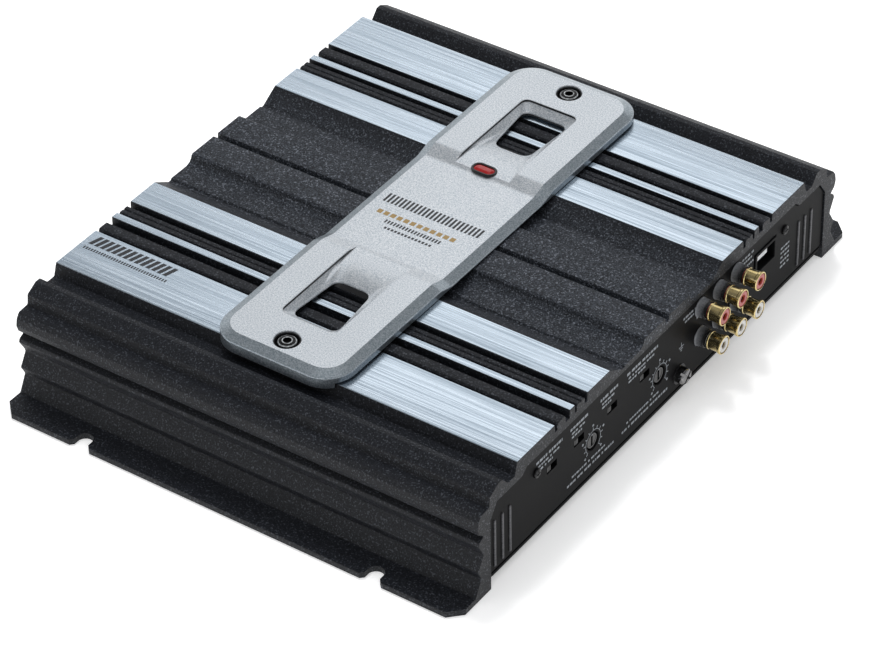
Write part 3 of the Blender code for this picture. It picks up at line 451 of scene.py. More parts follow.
def shell_outline():
    """The whole cross-section with its hollow, as (y, z) points with rounded corners."""
    crisp, soft = 0.25 * MM, 0.4 * MM
    half = top_profile()
    half += [(RAIL_PEAK - 11.5 * MM, DECK_TOP, soft), (RAIL_PEAK - 9.8 * MM, VALLEY_FLOOR, soft)]
    half += [(RAIL_PEAK - 5.8 * MM, VALLEY_FLOOR, soft), (RAIL_PEAK - 2.2 * MM, 43.9 * MM, crisp)]
    half += side_profile()
    half += [(WALL_FOOT, FLANGE_THICK, soft), (WIDTH / 2, FLANGE_THICK, crisp), (WIDTH / 2, 0, crisp)]
    half += [(OPENING, 0, crisp), (OPENING, PANEL_UNDER, 0), (OPENING - LEDGE_OUT, PANEL_UNDER, crisp)]
    ledge_top = PANEL_UNDER + LEDGE_THICK
    half += [(OPENING - LEDGE_OUT, ledge_top, crisp), (OPENING, ledge_top, 0), (OPENING, SHOULDER, soft)]
    half += [(OPENING - 4 * MM, VALLEY_UNDER, soft), (OPENING - 19 * MM, VALLEY_UNDER, soft)]
    half += [(OPENING - 22 * MM, DECK_UNDER, soft), (0, DECK_UNDER, 0)]
    whole = half + [(-y, z, radius) for y, z, radius in reversed(half) if y > 0]
    return rounded([(y, z) for y, z, radius in whole], [radius for y, z, radius in whole])


def opening_outline():
    """The shape of the hollow, where the end panels sit."""
    half = [(OPENING, PANEL_UNDER), (OPENING, SHOULDER), (OPENING - 4 * MM, VALLEY_UNDER)]
    half += [(OPENING - 19 * MM, VALLEY_UNDER), (OPENING - 22 * MM, DECK_UNDER)]
    return half + [(-y, z) for y, z in reversed(half)]


def slot_outline(x, side):
    radius = SLOT_WIDTH / 2
    end = WIDTH / 2 - SLOT_DEPTH + radius
    lip = radius + SLOT_LIP
    points = [(x + lip, WIDTH / 2 + MM), (x + lip, WIDTH / 2), (x + radius, WIDTH / 2 - SLOT_LIP)]
    for step in range(17):
        angle = pi * step / 16
        points.append((x + radius * cos(angle), end - radius * sin(angle)))
    points += [(x - radius, WIDTH / 2 - SLOT_LIP), (x - lip, WIDTH / 2), (x - lip, WIDTH / 2 + MM)]
    return [(px, side * py) for px, py in points]


def black_dye(wire, place):
    """Matt black with a glittering grain, as sand-blasted aluminium has under its dye. The wide ribs of the
    middle carry a painted sheen: their tops are painted paler and more glittering than the rails and walls."""
    grain = place.noise(1700, 3, 0.7)
    sparkle = place.noise(1500, 1, 0.5).over(0.58, 0.7)
    cloud = place.noise(60, 3).over(0.3, 0.75)
    outer = place.part("Y").size().over(0.8 * BROAD_RIBS, 1.06 * BROAD_RIBS)
    # painted sheen: the middle ribs above the valley floor are painted a paler, more glittering black than
    # the rails
    middle_sheen = (1 - outer) * place.part("Z").over(VALLEY_FLOOR, GROOVE_FLOOR)
    rail = mixed(grain.over(0.35, 0.65), (0.0015, 0.0019, 0.003), (0.0155, 0.0175, 0.023))
    rib = mixed(grain.over(0.4, 0.62), (0.003, 0.004, 0.006), (0.046, 0.053, 0.066))
    colour = mixed(sparkle * (0.35 + 0.65 * middle_sheen), mixed(middle_sheen, rail, rib), (0.145, 0.16, 0.19))
    rough = 0.52 - 0.16 * sparkle + 0.06 * cloud
    return {
        "Base Color": colour,
        "Roughness": rough,
        "Specular IOR Level": 0.3,
        "Normal": bumped(grain, 0.12 * MM, 0.8),
    }


def brushed(wire, place):
    """Bare aluminium brushed along the extrusion, which leaves long fine scratches of uneven depth."""
    long_lines = place.scaled((9, 1500, 1500)).noise(1, 3, 0.7)
    fine_lines = place.scaled((35, 4200, 4200)).noise(1, 2, 0.6)
    lines = 0.6 * long_lines + 0.4 * fine_lines
    tone = lines.over(0.4, 0.6)
    return {
        "Base Color": mixed(tone, (0.44, 0.53, 0.62), (0.75, 0.85, 0.95)),
        "Metallic": 1.0,
        "Roughness": 0.2 + 0.16 * (1 - tone),
        "Normal": bumped(lines, 0.06 * MM, 0.6),
    }


shell_black = finish("black_dyed_aluminium", black_dye)
shell_brushed = finish("brushed_aluminium", brushed)
section = shell_outline()
ends = []
for end in (-1, 1):
    ends.append((MIDDLE + end * LENGTH / 2, inset(section, SAWN_EDGE)))
    ends.append((MIDDLE + end * (LENGTH / 2 - SAWN_EDGE), section))
ends[2], ends[3] = ends[3], ends[2]
shell = piece(
    "extruded_shell",
    lofted([set_along(outline, "X", x) for x, outline in ends]),
    [shell_black, shell_brushed],
)
cutters = []
for end in (-1, 1):
    inner = MIDDLE + end * (LENGTH / 2 - 2.9 * MM)
    outer = MIDDLE + end * (LENGTH / 2 + MM)
    cutters.append(prism(inset(opening_outline(), -0.02 * MM), "X", inner, outer))
    for side in (-1, 1):
        slot = slot_outline(MIDDLE + end * (LENGTH / 2 - SLOT_INSET), side)
        cutters.append(prism(slot, "Z", -MM, FLANGE_THICK + MM))
        tip, wide = LENGTH / 2, WIDTH / 2
        short, narrow = tip - FLANGE_CORNER, wide - FLANGE_CORNER
        corner = [(short, wide + MM), (short, wide), (tip, narrow), (tip + MM, narrow), (tip + MM, wide + MM)]
        corner = [(MIDDLE + end * x, side * y) for x, y in corner]
        cutters.append(prism(corner, "Z", -MM, FLANGE_THICK + MM))
cut(shell, *cutters)
STRIPS = ((37.0 * MM, 51.2 * MM), (59.1 * MM, 62.2 * MM), (71.45 * MM, 94.4 * MM))
STRIP_LOW = 44.95 * MM
for face in shell.data.polygons:
    middle = face.center
    if face.normal.z > 0.8 and middle.z > STRIP_LOW:
        if any(start < abs(middle.y) < stop for start, stop in STRIPS):
            face.material_index = 1
finished(shell, "heatsink_shell", 32)


# Cover plate: a zinc casting in satin silver paint, which bridges the ribs on two skirted ends. Its raised
# ends step down to a lower middle, and each has a scoop that runs down to a window over the ribs.
cover_low, cover_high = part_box("cover_plate")
COVER_HALF = cover_high.y
COVER_REACH = (cover_high.x - cover_low.x) / 2
COVER_FOOT = cover_low.z
COVER_CORNER = 12 * MM
PLATEAU = cover_high.z
COVER_CENTRE = PLATEAU - 2 * MM
COVER_UNDER = DECK_TOP + 0.8 * MM
COVER_SKIRT = 4 * MM
STEP_OUTER = 35.8 * MM
STEP_INNER = 28.8 * MM
STEP_SOFT = 0.8 * MM
SCOOP_HALF = 12 * MM
SCOOP_INNER = 31 * MM
SCOOP_OUTER = COVER_HALF - 22 * MM
SCOOP_LIP = 49.0 * MM
SCOOP_FLOOR = 47.3 * MM
SCOOP_HUMP = 0.9 * MM
WINDOW_INNER = 49.2 * MM
WINDOW_OUTER = SCOOP_OUTER - 3.6 * MM
COUNTERBORE = 4.9 * MM
COUNTERBORE_FLOOR = 47.4 * MM
cover_screw_low, cover_screw_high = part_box("cover_screw_far")
COVER_SCREW_Y = (cover_screw_low.y + cover_screw_high.y) / 2
# (in from the edge, down from the top) of each line round the plate's edge, from the foot up
COVER_EDGE = ((0, 2.5), (0, 2.05), (0.09, 1.8), (0.3, 1.6), (0.62, 1.46), (3.8, 0))


def cover_height(y):
    """The top of the plate, which steps up from its middle with softened corners."""
    def ramp(at):
        share = (at - STEP_INNER) / (STEP_OUTER - STEP_INNER)
        return COVER_CENTRE + (PLATEAU - COVER_CENTRE) * min(max(share, 0), 1)
    y = abs(y)
    return (ramp(y - STEP_SOFT) + ramp(y) + ramp(y + STEP_SOFT)) / 3


def cover_side(inwards):
    """The right-hand half of a line round the plate, from its near end to its far end."""
    corner = COVER_CORNER - inwards
    reach, middle = COVER_REACH - COVER_CORNER, COVER_HALF - COVER_CORNER
    side = []
    for step in range(17):
        angle = pi / 2 * step / 16
        side.append((reach + corner * sin(angle), -middle - corner * cos(angle)))
    for base in (STEP_OUTER, STEP_INNER):
        for offset in (1.2, 0.6, 0, -0.6, -1.2):
            side.append((COVER_REACH - inwards, -base - offset * STEP_SOFT))
    return side + [(x, -y) for x, y in reversed(side)]


def cover_work():
    work = bmesh.new()
    rows = []
    lines = [(0, None)] + [(inwards * MM, drop * MM) for inwards, drop in COVER_EDGE]
    for inwards, drop in lines:
        row = []
        for x, y in cover_side(inwards):
            z = COVER_FOOT if drop is None else cover_height(y) - drop
            row.append([work.verts.new((MIDDLE + side * x, y, z)) for side in (1, -1)])
        rows.append(row)
    for lower, upper in zip(rows, rows[1:]):
        for (a, b), (c, d) in zip(zip(lower, lower[1:]), zip(upper, upper[1:])):
            for side in (0, 1):
                work.faces.new((a[side], b[side], d[side], c[side]))
        for end in (0, -1):
            work.faces.new((*lower[end], *reversed(upper[end])))
    for row in (rows[0], rows[-1]):
        for a, b in zip(row, row[1:]):
            work.faces.new((a[0], b[0], b[1], a[1]))
    face_outwards(work)
    return work


def scoop_line(inner, outer, inner_half, outer_half, radii):
    """A rounded four-sided line, with equal counts of points round its corners and along its sides."""
    corners = [(-inner_half, inner), (inner_half, inner), (outer_half, outer), (-outer_half, outer)]
    arcs = rounded(corners, radii, 6)
    line = []
    for corner, count in enumerate((6, 10, 6, 10)):
        arc = arcs[corner * 7:corner * 7 + 7]
        following = arcs[(corner * 7 + 7) % 28]
        line += arc
        line += [arc[-1].lerp(following, step / count) for step in range(1, count)]
    return line


def scoop_cutter(side):
    """The scoop and the window at its foot, from above the plate down past its underside."""
    lip_radii = [0.3 * MM, 0.3 * MM, 3.2 * MM, 3.2 * MM]
    mouth_radii = [4.2 * MM, 4.2 * MM, 3.6 * MM, 3.6 * MM]
    lip = scoop_line(SCOOP_INNER, SCOOP_OUTER, SCOOP_HALF, SCOOP_HALF, lip_radii)
    mouth = scoop_line(WINDOW_INNER, WINDOW_OUTER, 7.5 * MM, 9.8 * MM, mouth_radii)
    wider = inset(mouth, -0.55 * MM)
    floors = [min(SCOOP_LIP, cover_height(point.y) - 0.04 * MM) for point in lip]
    rings = [[(point.x, point.y, PLATEAU + 2 * MM) for point in inset(lip, -2.2 * MM)]]
    for grown, drop in ((0.25 * MM, -0.05 * MM), (0, 0.1 * MM)):
        ring = []
        for point, floor in zip(inset(lip, -grown), floors):
            ring.append((point.x, point.y, max(cover_height(point.y) - drop, floor + 0.02 * MM)))
        rings.append(ring)
    for share in (0, 0.12, 0.25, 0.4, 0.55, 0.7, 0.85, 1):
        ring = []
        for a, b, floor in zip(lip, wider, floors):
            spot = a.lerp(b, share)
            near_mouth = min(max(1 - (a.y - SCOOP_INNER) / SCOOP_HALF, 0), 1)
            hump = near_mouth * SCOOP_HUMP * 4 * share * (1 - share)
            ring.append((spot.x, spot.y, floor + (SCOOP_FLOOR - floor) * share + hump))
        rings.append(ring)
    for outline, z in ((inset(mouth, -0.3 * MM), 47.22), (inset(mouth, -0.1 * MM), 47.05), (mouth, 46.75)):
        rings.append([(point.x, point.y, z * MM) for point in outline])
    slanted = [Vector((point.x, max(point.y, WINDOW_INNER + 2.1 * MM))) for point in mouth]
    for z in (COVER_UNDER, COVER_UNDER - MM):
        rings.append([(point.x, point.y, z) for point in slanted])
    return lofted([[(MIDDLE + x, side * y, z) for x, y, z in ring] for ring in rings])


def turned(profile, centre, direction, segments=48):
    """A solid turned about a line through centre, from points (radius, distance along). A profile that
    starts and ends on the axis is closed there, and one clear of the axis is closed on itself."""
    turn = Vector((0, 0, 1)).rotation_difference(Vector(direction)).to_matrix()
    ringed = profile[0][0] > 0
    rings = []
    for radius, along in profile:
        ring = [Vector((x, y, along)) for x, y in circle((0, 0), max(radius, 1e-6), segments)]
        rings.append([Vector(centre) + turn @ point for point in ring])
    work = lofted(rings, looped=ringed)
    bmesh.ops.remove_doubles(work, verts=work.verts, dist=3e-6)
    face_outwards(work)
    return work


def silver_paint(wire, place):
    """Satin silver lacquer with fine flakes in it, over a slightly uneven casting."""
    flake = place.noise(1900, 3, 0.7)
    orange = place.noise(420, 2, 0.5)
    cloud = place.noise(30, 2).over(0.3, 0.7)
    tone = flake.over(0.38, 0.62)
    return {
        "Base Color": mixed(tone, (0.46, 0.52, 0.575), (0.88, 0.905, 0.935)),
        "Metallic": 0.85,
        "Roughness": 0.3 + 0.08 * tone + 0.04 * cloud,
        "Coat Weight": 0.25,
        "Coat Roughness": 0.25,
        "Normal": bumped(0.5 * flake + orange, 0.02 * MM, 0.35),
    }


def edge_shade_paint(wire, place):
    """The same lacquer painted greyer, as painted shade on the plate's sloped edges, walls and steps."""
    coat = silver_paint(wire, place)
    flake = place.noise(1900, 3, 0.7).over(0.38, 0.62)
    coat["Base Color"] = mixed(flake, (0.27, 0.33, 0.375), (0.56, 0.61, 0.65))
    return coat


def black_gloss(wire, place):
    """Moulded black plastic with a faint skin."""
    skin = place.noise(1500, 2)
    return {
        "Base Color": mixed(skin, (0.007, 0.007, 0.008), (0.012, 0.012, 0.013)),
        "Roughness": 0.16 + 0.12 * skin,
        "Normal": bumped(skin, 0.01 * MM, 0.25),
    }


gloss_black = finish("gloss_black_plastic", black_gloss)
silver = finish("satin_silver_lacquer", silver_paint)
silver_shade = finish("satin_silver_painted_shade", edge_shade_paint)
cover = piece("cover_casting", cover_work(), [silver, gloss_black, silver_shade])
inner_end = COVER_HALF - COVER_SKIRT
wide = COVER_REACH + MM
cutters = [box((MIDDLE - wide, -inner_end, COVER_FOOT - MM), (MIDDLE + wide, inner_end, COVER_UNDER))]
for side in (-1, 1):
    spot = (MIDDLE, side * COVER_SCREW_Y, 0)
    bore = [(0, COVER_UNDER - MM), (2.3 * MM, COVER_UNDER - MM), (2.3 * MM, COUNTERBORE_FLOOR)]
    bore += [(COUNTERBORE, COUNTERBORE_FLOOR), (COUNTERBORE, PLATEAU - 0.25 * MM)]
    eased = COUNTERBORE + 0.3 * MM
    bore += [(eased, PLATEAU + 0.05 * MM), (eased, PLATEAU + MM), (0, PLATEAU + MM)]
    cutters.append(turned(bore, spot, (0, 0, 1), 64))
cut(cover, *cutters)
for side in (-1, 1):
    cut(cover, scoop_cutter(side))
lens_low, lens_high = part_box("power_lens")


def lens_outline(grow):
    """A round-ended slot shape, long across the plate."""
    radius = (lens_high.y - lens_low.y) / 2
    reach = (lens_high.x - lens_low.x) / 2 - radius
    middle = (lens_high.y + lens_low.y) / 2
    points = []
    for end in (1, -1):
        for step in range(17):
            angle = pi * step / 16 - pi / 2
            out, side = (radius + grow) * cos(angle), (radius + grow) * sin(angle)
            points.append((MIDDLE + end * (reach + out), middle + end * side))
    return points


cut(cover, prism(lens_outline(0.25 * MM), "Z", lens_low.z - 0.3 * MM, PLATEAU + MM))
for face in cover.data.polygons:
    across, along, high = abs(face.center.x - MIDDLE), abs(face.center.y), face.center.z
    beside_scoop = across > SCOOP_HALF + 0.2 * MM
    clear_of_scoop = beside_scoop or not SCOOP_INNER < along < SCOOP_OUTER + 0.2 * MM
    clear_of_screw = sqrt(across ** 2 + (along - COVER_SCREW_Y) ** 2) > COUNTERBORE + 0.4 * MM
    # painted shade: sloped and upright faces clear of the scoops and screws take the greyer lacquer
    if face.normal.z < 0.975 and clear_of_scoop and clear_of_screw:
        face.material_index = 2
    if beside_scoop:
        continue
    # painted shade: the window's walls and the scoop's upright sides take the black plastic finish, for the
    # dark inside the window and the shadow line along the scoop
    in_window = WINDOW_INNER - MM < along < WINDOW_OUTER + MM and COVER_UNDER < high < 46.9 * MM
    in_scoop = SCOOP_INNER + MM < along < SCOOP_OUTER + 0.2 * MM and high > SCOOP_LIP
    if (in_window and abs(face.normal.z) < 0.97) or (in_scoop and abs(face.normal.z) < 0.5):
        face.material_index = 1
finished(cover, "cover_plate", 14)


# Power lens: a domed lens of clear red moulded plastic, pressed into a long hole in the plate's far step. A
# thin black moulded frame stands round it.
def red_lens(wire, place):
    depth = place.noise(500, 2)
    return {
        "Base Color": mixed(depth, (0.26, 0.004, 0.005), (0.45, 0.012, 0.012)),
        "Roughness": 0.14 + 0.06 * depth,
        "Coat Weight": 0.4,
        "Coat Roughness": 0.05,
        "Normal": bumped(depth, 0.01 * MM, 0.3),
    }


LENS_DOME = 0.55 * MM
lens_rings = [[(x, y, lens_low.z) for x, y in lens_outline(0)]]
for share in (0, 0.25, 0.5, 0.75, 0.92):
    dome = lens_high.z - LENS_DOME + LENS_DOME * sqrt(1 - (1 - share) ** 2)
    shrink = (0.35 + 1.35 * share) * MM if share else 0
    outline = inset([Vector(point) for point in lens_outline(0)], shrink)
    lens_rings.append([(point[0], point[1], min(dome, lens_high.z)) for point in outline])
lens = piece("power_lens_dome", lofted(lens_rings), finish("clear_red_plastic", red_lens))
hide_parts("power_lens")
bezel_rings = []
for grown, z in ((0.05, -2.2), (0.05, -0.35), (0.25, -0.1), (0.8, -0.1), (1.05, -0.4), (1.05, -2.2)):
    bezel_rings.append([(x, y, lens_high.z + z * MM) for x, y in lens_outline(grown * MM)])
piece("power_lens_bezel", lofted(bezel_rings, looped=True), gloss_black)


# Print on the plate and the near strip: plain bars in black and gold ink, screened where an amplifier
# carries its maker's panel. They hold no lettering.
def print_bars(name, bars, z, made, slant=0.0):
    """Screened bars: each is (start, low, wide, tall) in millimetres from the extrusion's middle."""
    works = []
    for start, low, wide, tall in bars:
        stop, lean = start + wide, slant * tall
        outline = [(start, low), (stop, low), (stop + lean, low + tall), (start + lean, low + tall)]
        outline = [(MIDDLE + x * MM, y * MM) for x, y in outline]
        works.append(prism(outline, "Z", z - 0.03 * MM, z + 0.03 * MM))
    piece(name, joined(*works), made, smooth=0)


def bar_row(start, stop, low, tall, wide, gap):
    """A row of equal bars between two places."""
    count = round((stop - start + gap) / (wide + gap))
    return [(start + (wide + gap) * step, low, wide, tall) for step in range(count)]


def dark_ink(wire, place):
    """Black screen ink, thin at its edges."""
    thin = place.noise(2500, 3, 0.6).over(0.4, 0.7)
    colour = mixed(thin, (0.012, 0.013, 0.016), (0.05, 0.052, 0.06))
    return {"Base Color": colour, "Roughness": 0.45 + 0.1 * thin}


def gold_ink(wire, place):
    """Bronze screen ink."""
    thin = place.noise(2500, 3, 0.6).over(0.4, 0.7)
    colour = mixed(thin, (0.36, 0.24, 0.09), (0.46, 0.33, 0.16))
    return {"Base Color": colour, "Roughness": 0.4 + 0.1 * thin, "Metallic": 0.4}


black_print = finish("black_screen_ink", dark_ink)
bronze_print = finish("bronze_screen_ink", gold_ink)
rows = bar_row(-21, 21, -2.6, 5.2, 0.9, 0.8) + bar_row(-13, 11, -13.2, 2.0, 0.7, 0.6)
rows += bar_row(-11, 10, -16.2, 1.2, 0.9, 0.6)
print_bars("cover_print_dark", rows, COVER_CENTRE, black_print)
rows = bar_row(-19, 16, -9.4, 2.2, 2.0, 0.9)
print_bars("cover_print_bronze", rows, COVER_CENTRE, bronze_print)
rows = bar_row(-97, -61, -79.0, 5.4, 1.7, 0.9)
print_bars("strip_print_bold", rows, DECK_TOP, black_print, slant=0.3)
rows = bar_row(-97, -60, -82.2, 1.5, 0.6, 0.55)
print_bars("strip_print_fine", rows, DECK_TOP, black_print)


# Screws: black button heads with a hex socket hold the cover plate, each in a moulded black cup, and small
# black crossheads hold the panels and the base. All are steel, blacked and rubbed a little bright; the button
# heads also carry painted highlight rings round the socket and the shoulder.
def blackened(wire, place):
    """Black oxide on steel, rubbed bright on its proud spots."""
    wear = place.noise(1800, 3, 0.6).over(0.55, 0.8)
    return {
        "Base Color": mixed(wear, (0.02, 0.02, 0.021), (0.16, 0.16, 0.165)),
        "Metallic": 0.9,
        "Roughness": 0.28 + 0.15 * wear,
        "Normal": bumped(place.noise(5000, 2), 0.01 * MM, 0.4),
    }


def highlight_rings(wire, place):
    """Black oxide on the cover's screws, with painted highlight rings round the socket and the head's
    shoulder, broken up in patches.
    """
    across = place.part("X") - MIDDLE
    along = place.part("Y").size() - COVER_SCREW_Y
    radius = (across * across + along * along).root()
    # painted highlight rings on the head's shoulder and round the socket
    shoulder = radius.above(3.0 * MM) * radius.below(3.4 * MM)
    rings = radius.above(1.62 * MM) * radius.below(1.95 * MM) + shoulder
    patchy = place.noise(900, 2).over(0.38, 0.6)
    shine = rings * (0.35 + 0.65 * patchy)
    return {
        "Base Color": mixed(shine, (0.02, 0.02, 0.021), (0.75, 0.78, 0.8)),
        "Metallic": 0.8,
        "Roughness": 0.3 + 0.15 * shine,
        "Normal": bumped(place.noise(5000, 2), 0.01 * MM, 0.4),
    }


black_steel = finish("black_oxide_steel", blackened)
highlit_black_steel = finish("black_oxide_painted_highlights", highlight_rings)


def aimed(work, seat, direction):
    """Work made about the Z axis, stood at a seat and turned to a direction."""
    turn = Vector((0, 0, 1)).rotation_difference(Vector(direction)).to_matrix().to_4x4()
    bmesh.ops.transform(work, matrix=Matrix.Translation(Vector(seat)) @ turn, verts=work.verts)
    return work


def fitted_screw(name, node, direction, profile, thick, made, cutters, body, segments=40):
    """A screw turned from its profile, with its recess cut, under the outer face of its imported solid."""
    low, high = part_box(node)
    seat = (low + high) / 2
    for i, way in enumerate(direction):
        if way:
            seat[i] = high[i] - thick if way > 0 else low[i] + thick
    work = aimed(turned(profile, (0, 0, 0), (0, 0, 1), segments), seat, direction)
    obj = piece(name, work, made, body)
    cut(obj, *[aimed(cutter, seat, direction) for cutter in cutters])
    finished(obj, node)


def button_head(name, node, head, thick, shank, length, socket):
    """A domed head with a hex socket, on a plain shank."""
    profile = [(0, -length), (shank - 0.3 * MM, -length), (shank, 0.5 * MM - length), (shank, 0)]
    profile += [(head - 0.1 * MM, 0), (head, 0.15 * MM), (head, 0.35 * thick)]
    for step in range(1, 8):
        angle = pi / 2 * step / 8
        radius = socket + (head - socket) * cos(angle) ** 0.8
        profile.append((radius, 0.35 * thick + 0.65 * thick * sin(angle)))
    profile += [(socket + 0.25 * MM, thick), (0, thick)]
    hollow = prism(circle((0, 0), socket, 6), "Z", 0.35 * thick, thick + MM)
    fitted_screw(name, node, (0, 0, 1), profile, thick, highlit_black_steel, [hollow], "root")


def crosshead(name, node, direction, head, thick, shank, length):
    """A low head with a cross recess: two tapered slots across each other."""
    profile = [(0, -length), (shank - 0.3 * MM, -length), (shank, 0.5 * MM - length), (shank, 0), (head, 0)]
    profile += [(head, 0.3 * thick), (0.93 * head, 0.62 * thick), (0.75 * head, 0.85 * thick)]
    profile += [(0.45 * head, thick), (0, thick)]
    half, reach = 0.24 * head / 2, 0.62 * head
    low, high = thick - 0.5 * thick, thick + MM
    arms = [box((-x, -y, low), (x, y, high)) for x, y in ((reach, half), (half, reach))]
    recess = [joined(*arms)]
    fitted_screw(name, node, direction, profile, thick, black_steel, recess, "root", 32)


# each screw's head radius, head height, shank radius and shank length
COVER_SCREW = (3.9 * MM, 2.1 * MM, 2 * MM, 7.5 * MM)
PANEL_SCREW = (1.9 * MM, 0.9 * MM, 1.3 * MM, 9 * MM)
BASE_SCREW = (2.8 * MM, 1.4 * MM, 1.5 * MM, 3.8 * MM)
CUP_INNER, CUP_OUTER = 3.98 * MM, 4.86 * MM
for end, side in (("near", -1), ("far", 1)):
    button_head(f"cover_button_{end}", f"cover_screw_{end}", *COVER_SCREW, 1.6 * MM)
    cup = [(CUP_INNER, COUNTERBORE_FLOOR + 0.02 * MM), (CUP_OUTER, COUNTERBORE_FLOOR + 0.02 * MM)]
    cup += [(CUP_OUTER, PLATEAU - 0.55 * MM), (4.5 * MM, PLATEAU - 0.45 * MM)]
    cup += [(4.2 * MM, PLATEAU - 1.6 * MM), (CUP_INNER, COUNTERBORE_FLOOR + 0.6 * MM)]
    ring = turned(cup, (MIDDLE, side * COVER_SCREW_Y, 0), (0, 0, 1), 48)
    piece(f"cover_washer_{end}", ring, gloss_black)
    for panel, along in (("control", 1), ("power", -1)):
        crosshead(f"{panel}_crosshead_{end}", f"{panel}_panel_screw_{end}", (along, 0, 0), *PANEL_SCREW)
    for row in ("rear", "front"):
        crosshead(f"base_crosshead_{row}_{end}", f"base_screw_{row}_{end}", (0, 0, -1), *BASE_SCREW)


# Control panel: a pressed steel plate in satin black powder coat, let into the extrusion's end. Pressed
# ribs stand at both sides, and the scales and plain label bars are screened on in pale ink.
PANEL_FACE = panel_high.x
PANEL_BACK = panel_low.x
RIB_PROUD = 0.5 * MM
INK = 0.05 * MM


def powder_coat(wire, place):
    """Fine-textured satin black powder coat."""
    texture = place.noise(2400, 3, 0.6)
    cloud = place.noise(40, 2)
    return {
        "Base Color": mixed(cloud, (0.003, 0.003, 0.0036), (0.0055, 0.0055, 0.006)),
        "Roughness": 0.42 + 0.12 * texture,
        "Specular IOR Level": 0.06,
        "Normal": bumped(texture, 0.03 * MM, 0.5),
    }


def pale_ink(wire, place):
    """Screened ink, a little thin in places."""
    thin = place.noise(3000, 3, 0.6).over(0.35, 0.65)
    return {"Base Color": mixed(thin, (0.16, 0.18, 0.2), (0.42, 0.45, 0.49)), "Roughness": 0.5 + 0.1 * thin}


def rib_highlight(wire, place):
    """Powder coat painted a paler grey along a pressed rib, a painted highlight where the rib catches the
    light, streaked along its length.
    """
    highlight_streaks = place.scaled((400, 400, 3000)).noise(1, 2).over(0.3, 0.7)
    colour = mixed(highlight_streaks, (0.035, 0.036, 0.04), (0.1, 0.1, 0.11))
    return {"Base Color": colour, "Roughness": 0.35 + 0.1 * highlight_streaks, "Metallic": 0.3}


panel_black = finish("black_powder_coat", powder_coat)
ink = finish("pale_screen_ink", pale_ink)
# the ribs' finish, a painted highlight in pale grey over the black coat
rubbed = finish("powder_coat_painted_highlight", rib_highlight)


def centre_of(node):
    low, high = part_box(node)
    return (low + high) / 2


def panel_plate(name, end, low, high):
    """A panel's plate, a little inside the hollow, with its outside edge eased."""
    face, rear = (high.x, low.x) if end > 0 else (low.x, high.x)
    outline = inset(opening_outline(), 0.3 * MM)
    rows = [(rear, outline), (face - end * 0.2 * MM, outline), (face, inset(outline, 0.2 * MM))]
    rings = [set_along(row, "X", x) for x, row in rows]
    return piece(name, lofted(rings), panel_black)


def turned_at(profile, spot, segments=48):
    """A solid turned about a line along X through a place."""
    return turned(profile, (0, spot.y, spot.z), (1, 0, 0), segments)


def bore_at(spot, radius, start, stop, segments=48):
    """A straight round cutter along X through a place."""
    return turned_at([(0, start), (radius, start), (radius, stop), (0, stop)], spot, segments)


def four_sided(low, high, soft, steps=4):
    """A rounded four-sided outline between two corners."""
    return rounded([low, (high[0], low[1]), high, (low[0], high[1])], soft, steps)


control = panel_plate("control_face_plate", 1, panel_low, panel_high)
bore_from, bore_to = PANEL_BACK - MM, PANEL_FACE + MM
jack_places = [centre_of(f"jack_shell_{number}") for number in range(1, 7)]
dial_places = [centre_of(f"gain_dial_{letter}") for letter in "ab"]
switch_boxes = [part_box(f"switch_knob_{number}") for number in range(1, 5)]
SWITCH_TRAVEL = 3 * MM
RUNNING = 0.35 * MM
DIAL_RADIUS = 3.3 * MM
BOSS_RADIUS = 3.9 * MM
socket_low, socket_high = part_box("input_socket")
ground_place = centre_of("ground_screw")
holes = []
for place in jack_places:
    holes.append(bore_at(place, BOSS_RADIUS + 0.3 * MM, bore_from, bore_to))
for place in dial_places:
    radius = DIAL_RADIUS + RUNNING
    eased = radius + 0.35 * MM
    profile = [(0, bore_from), (radius, bore_from), (radius, PANEL_FACE - 0.3 * MM)]
    profile += [(eased, bore_to - 0.95 * MM), (eased, bore_to), (0, bore_to)]
    holes.append(turned_at(profile, place))
for low, high in switch_boxes:
    corner = (bore_to, high.y + SWITCH_TRAVEL + RUNNING, high.z + RUNNING)
    holes.append(box((bore_from, low.y - RUNNING, low.z - RUNNING), corner))
holes.append(bore_at(ground_place, 2.2 * MM, bore_from, bore_to, 32))
corner = (bore_to, socket_high.y + 0.3 * MM, socket_high.z + 0.3 * MM)
holes.append(box((bore_from, socket_low.y - 0.3 * MM, socket_low.z - 0.3 * MM), corner))
for end in ("near", "far"):
    holes.append(bore_at(centre_of(f"control_panel_screw_{end}"), 1.6 * MM, bore_from, bore_to, 24))
cut(control, *holes)
finished(control, "control_panel")

ribs = []
RIB_HALF, RIB_LOW, RIB_HIGH = 0.55 * MM, 8 * MM, 28.6 * MM
for y in (-107.5, -102.8, -98.3, 92.4, 96.9, 101.5):
    rib = four_sided((y * MM - RIB_HALF, RIB_LOW), (y * MM + RIB_HALF, RIB_HIGH), 0.5 * MM, 5)
    levels = ((-0.05 * MM, 0), (0.25 * MM, 0), (RIB_PROUD - 0.1 * MM, 0.1 * MM), (RIB_PROUD, 0.25 * MM))
    ribs.append(lofted([set_along(inset(rib, shrink), "X", PANEL_FACE + out) for out, shrink in levels]))
piece("control_panel_ribs", joined(*ribs), rubbed)


def mark(low_y, low_z, wide, tall):
    """A plain screened bar on the control panel, in millimetres."""
    corner = (PANEL_FACE + INK, (low_y + wide) * MM, (low_z + tall) * MM)
    return box((PANEL_FACE - INK, low_y * MM, low_z * MM), corner)


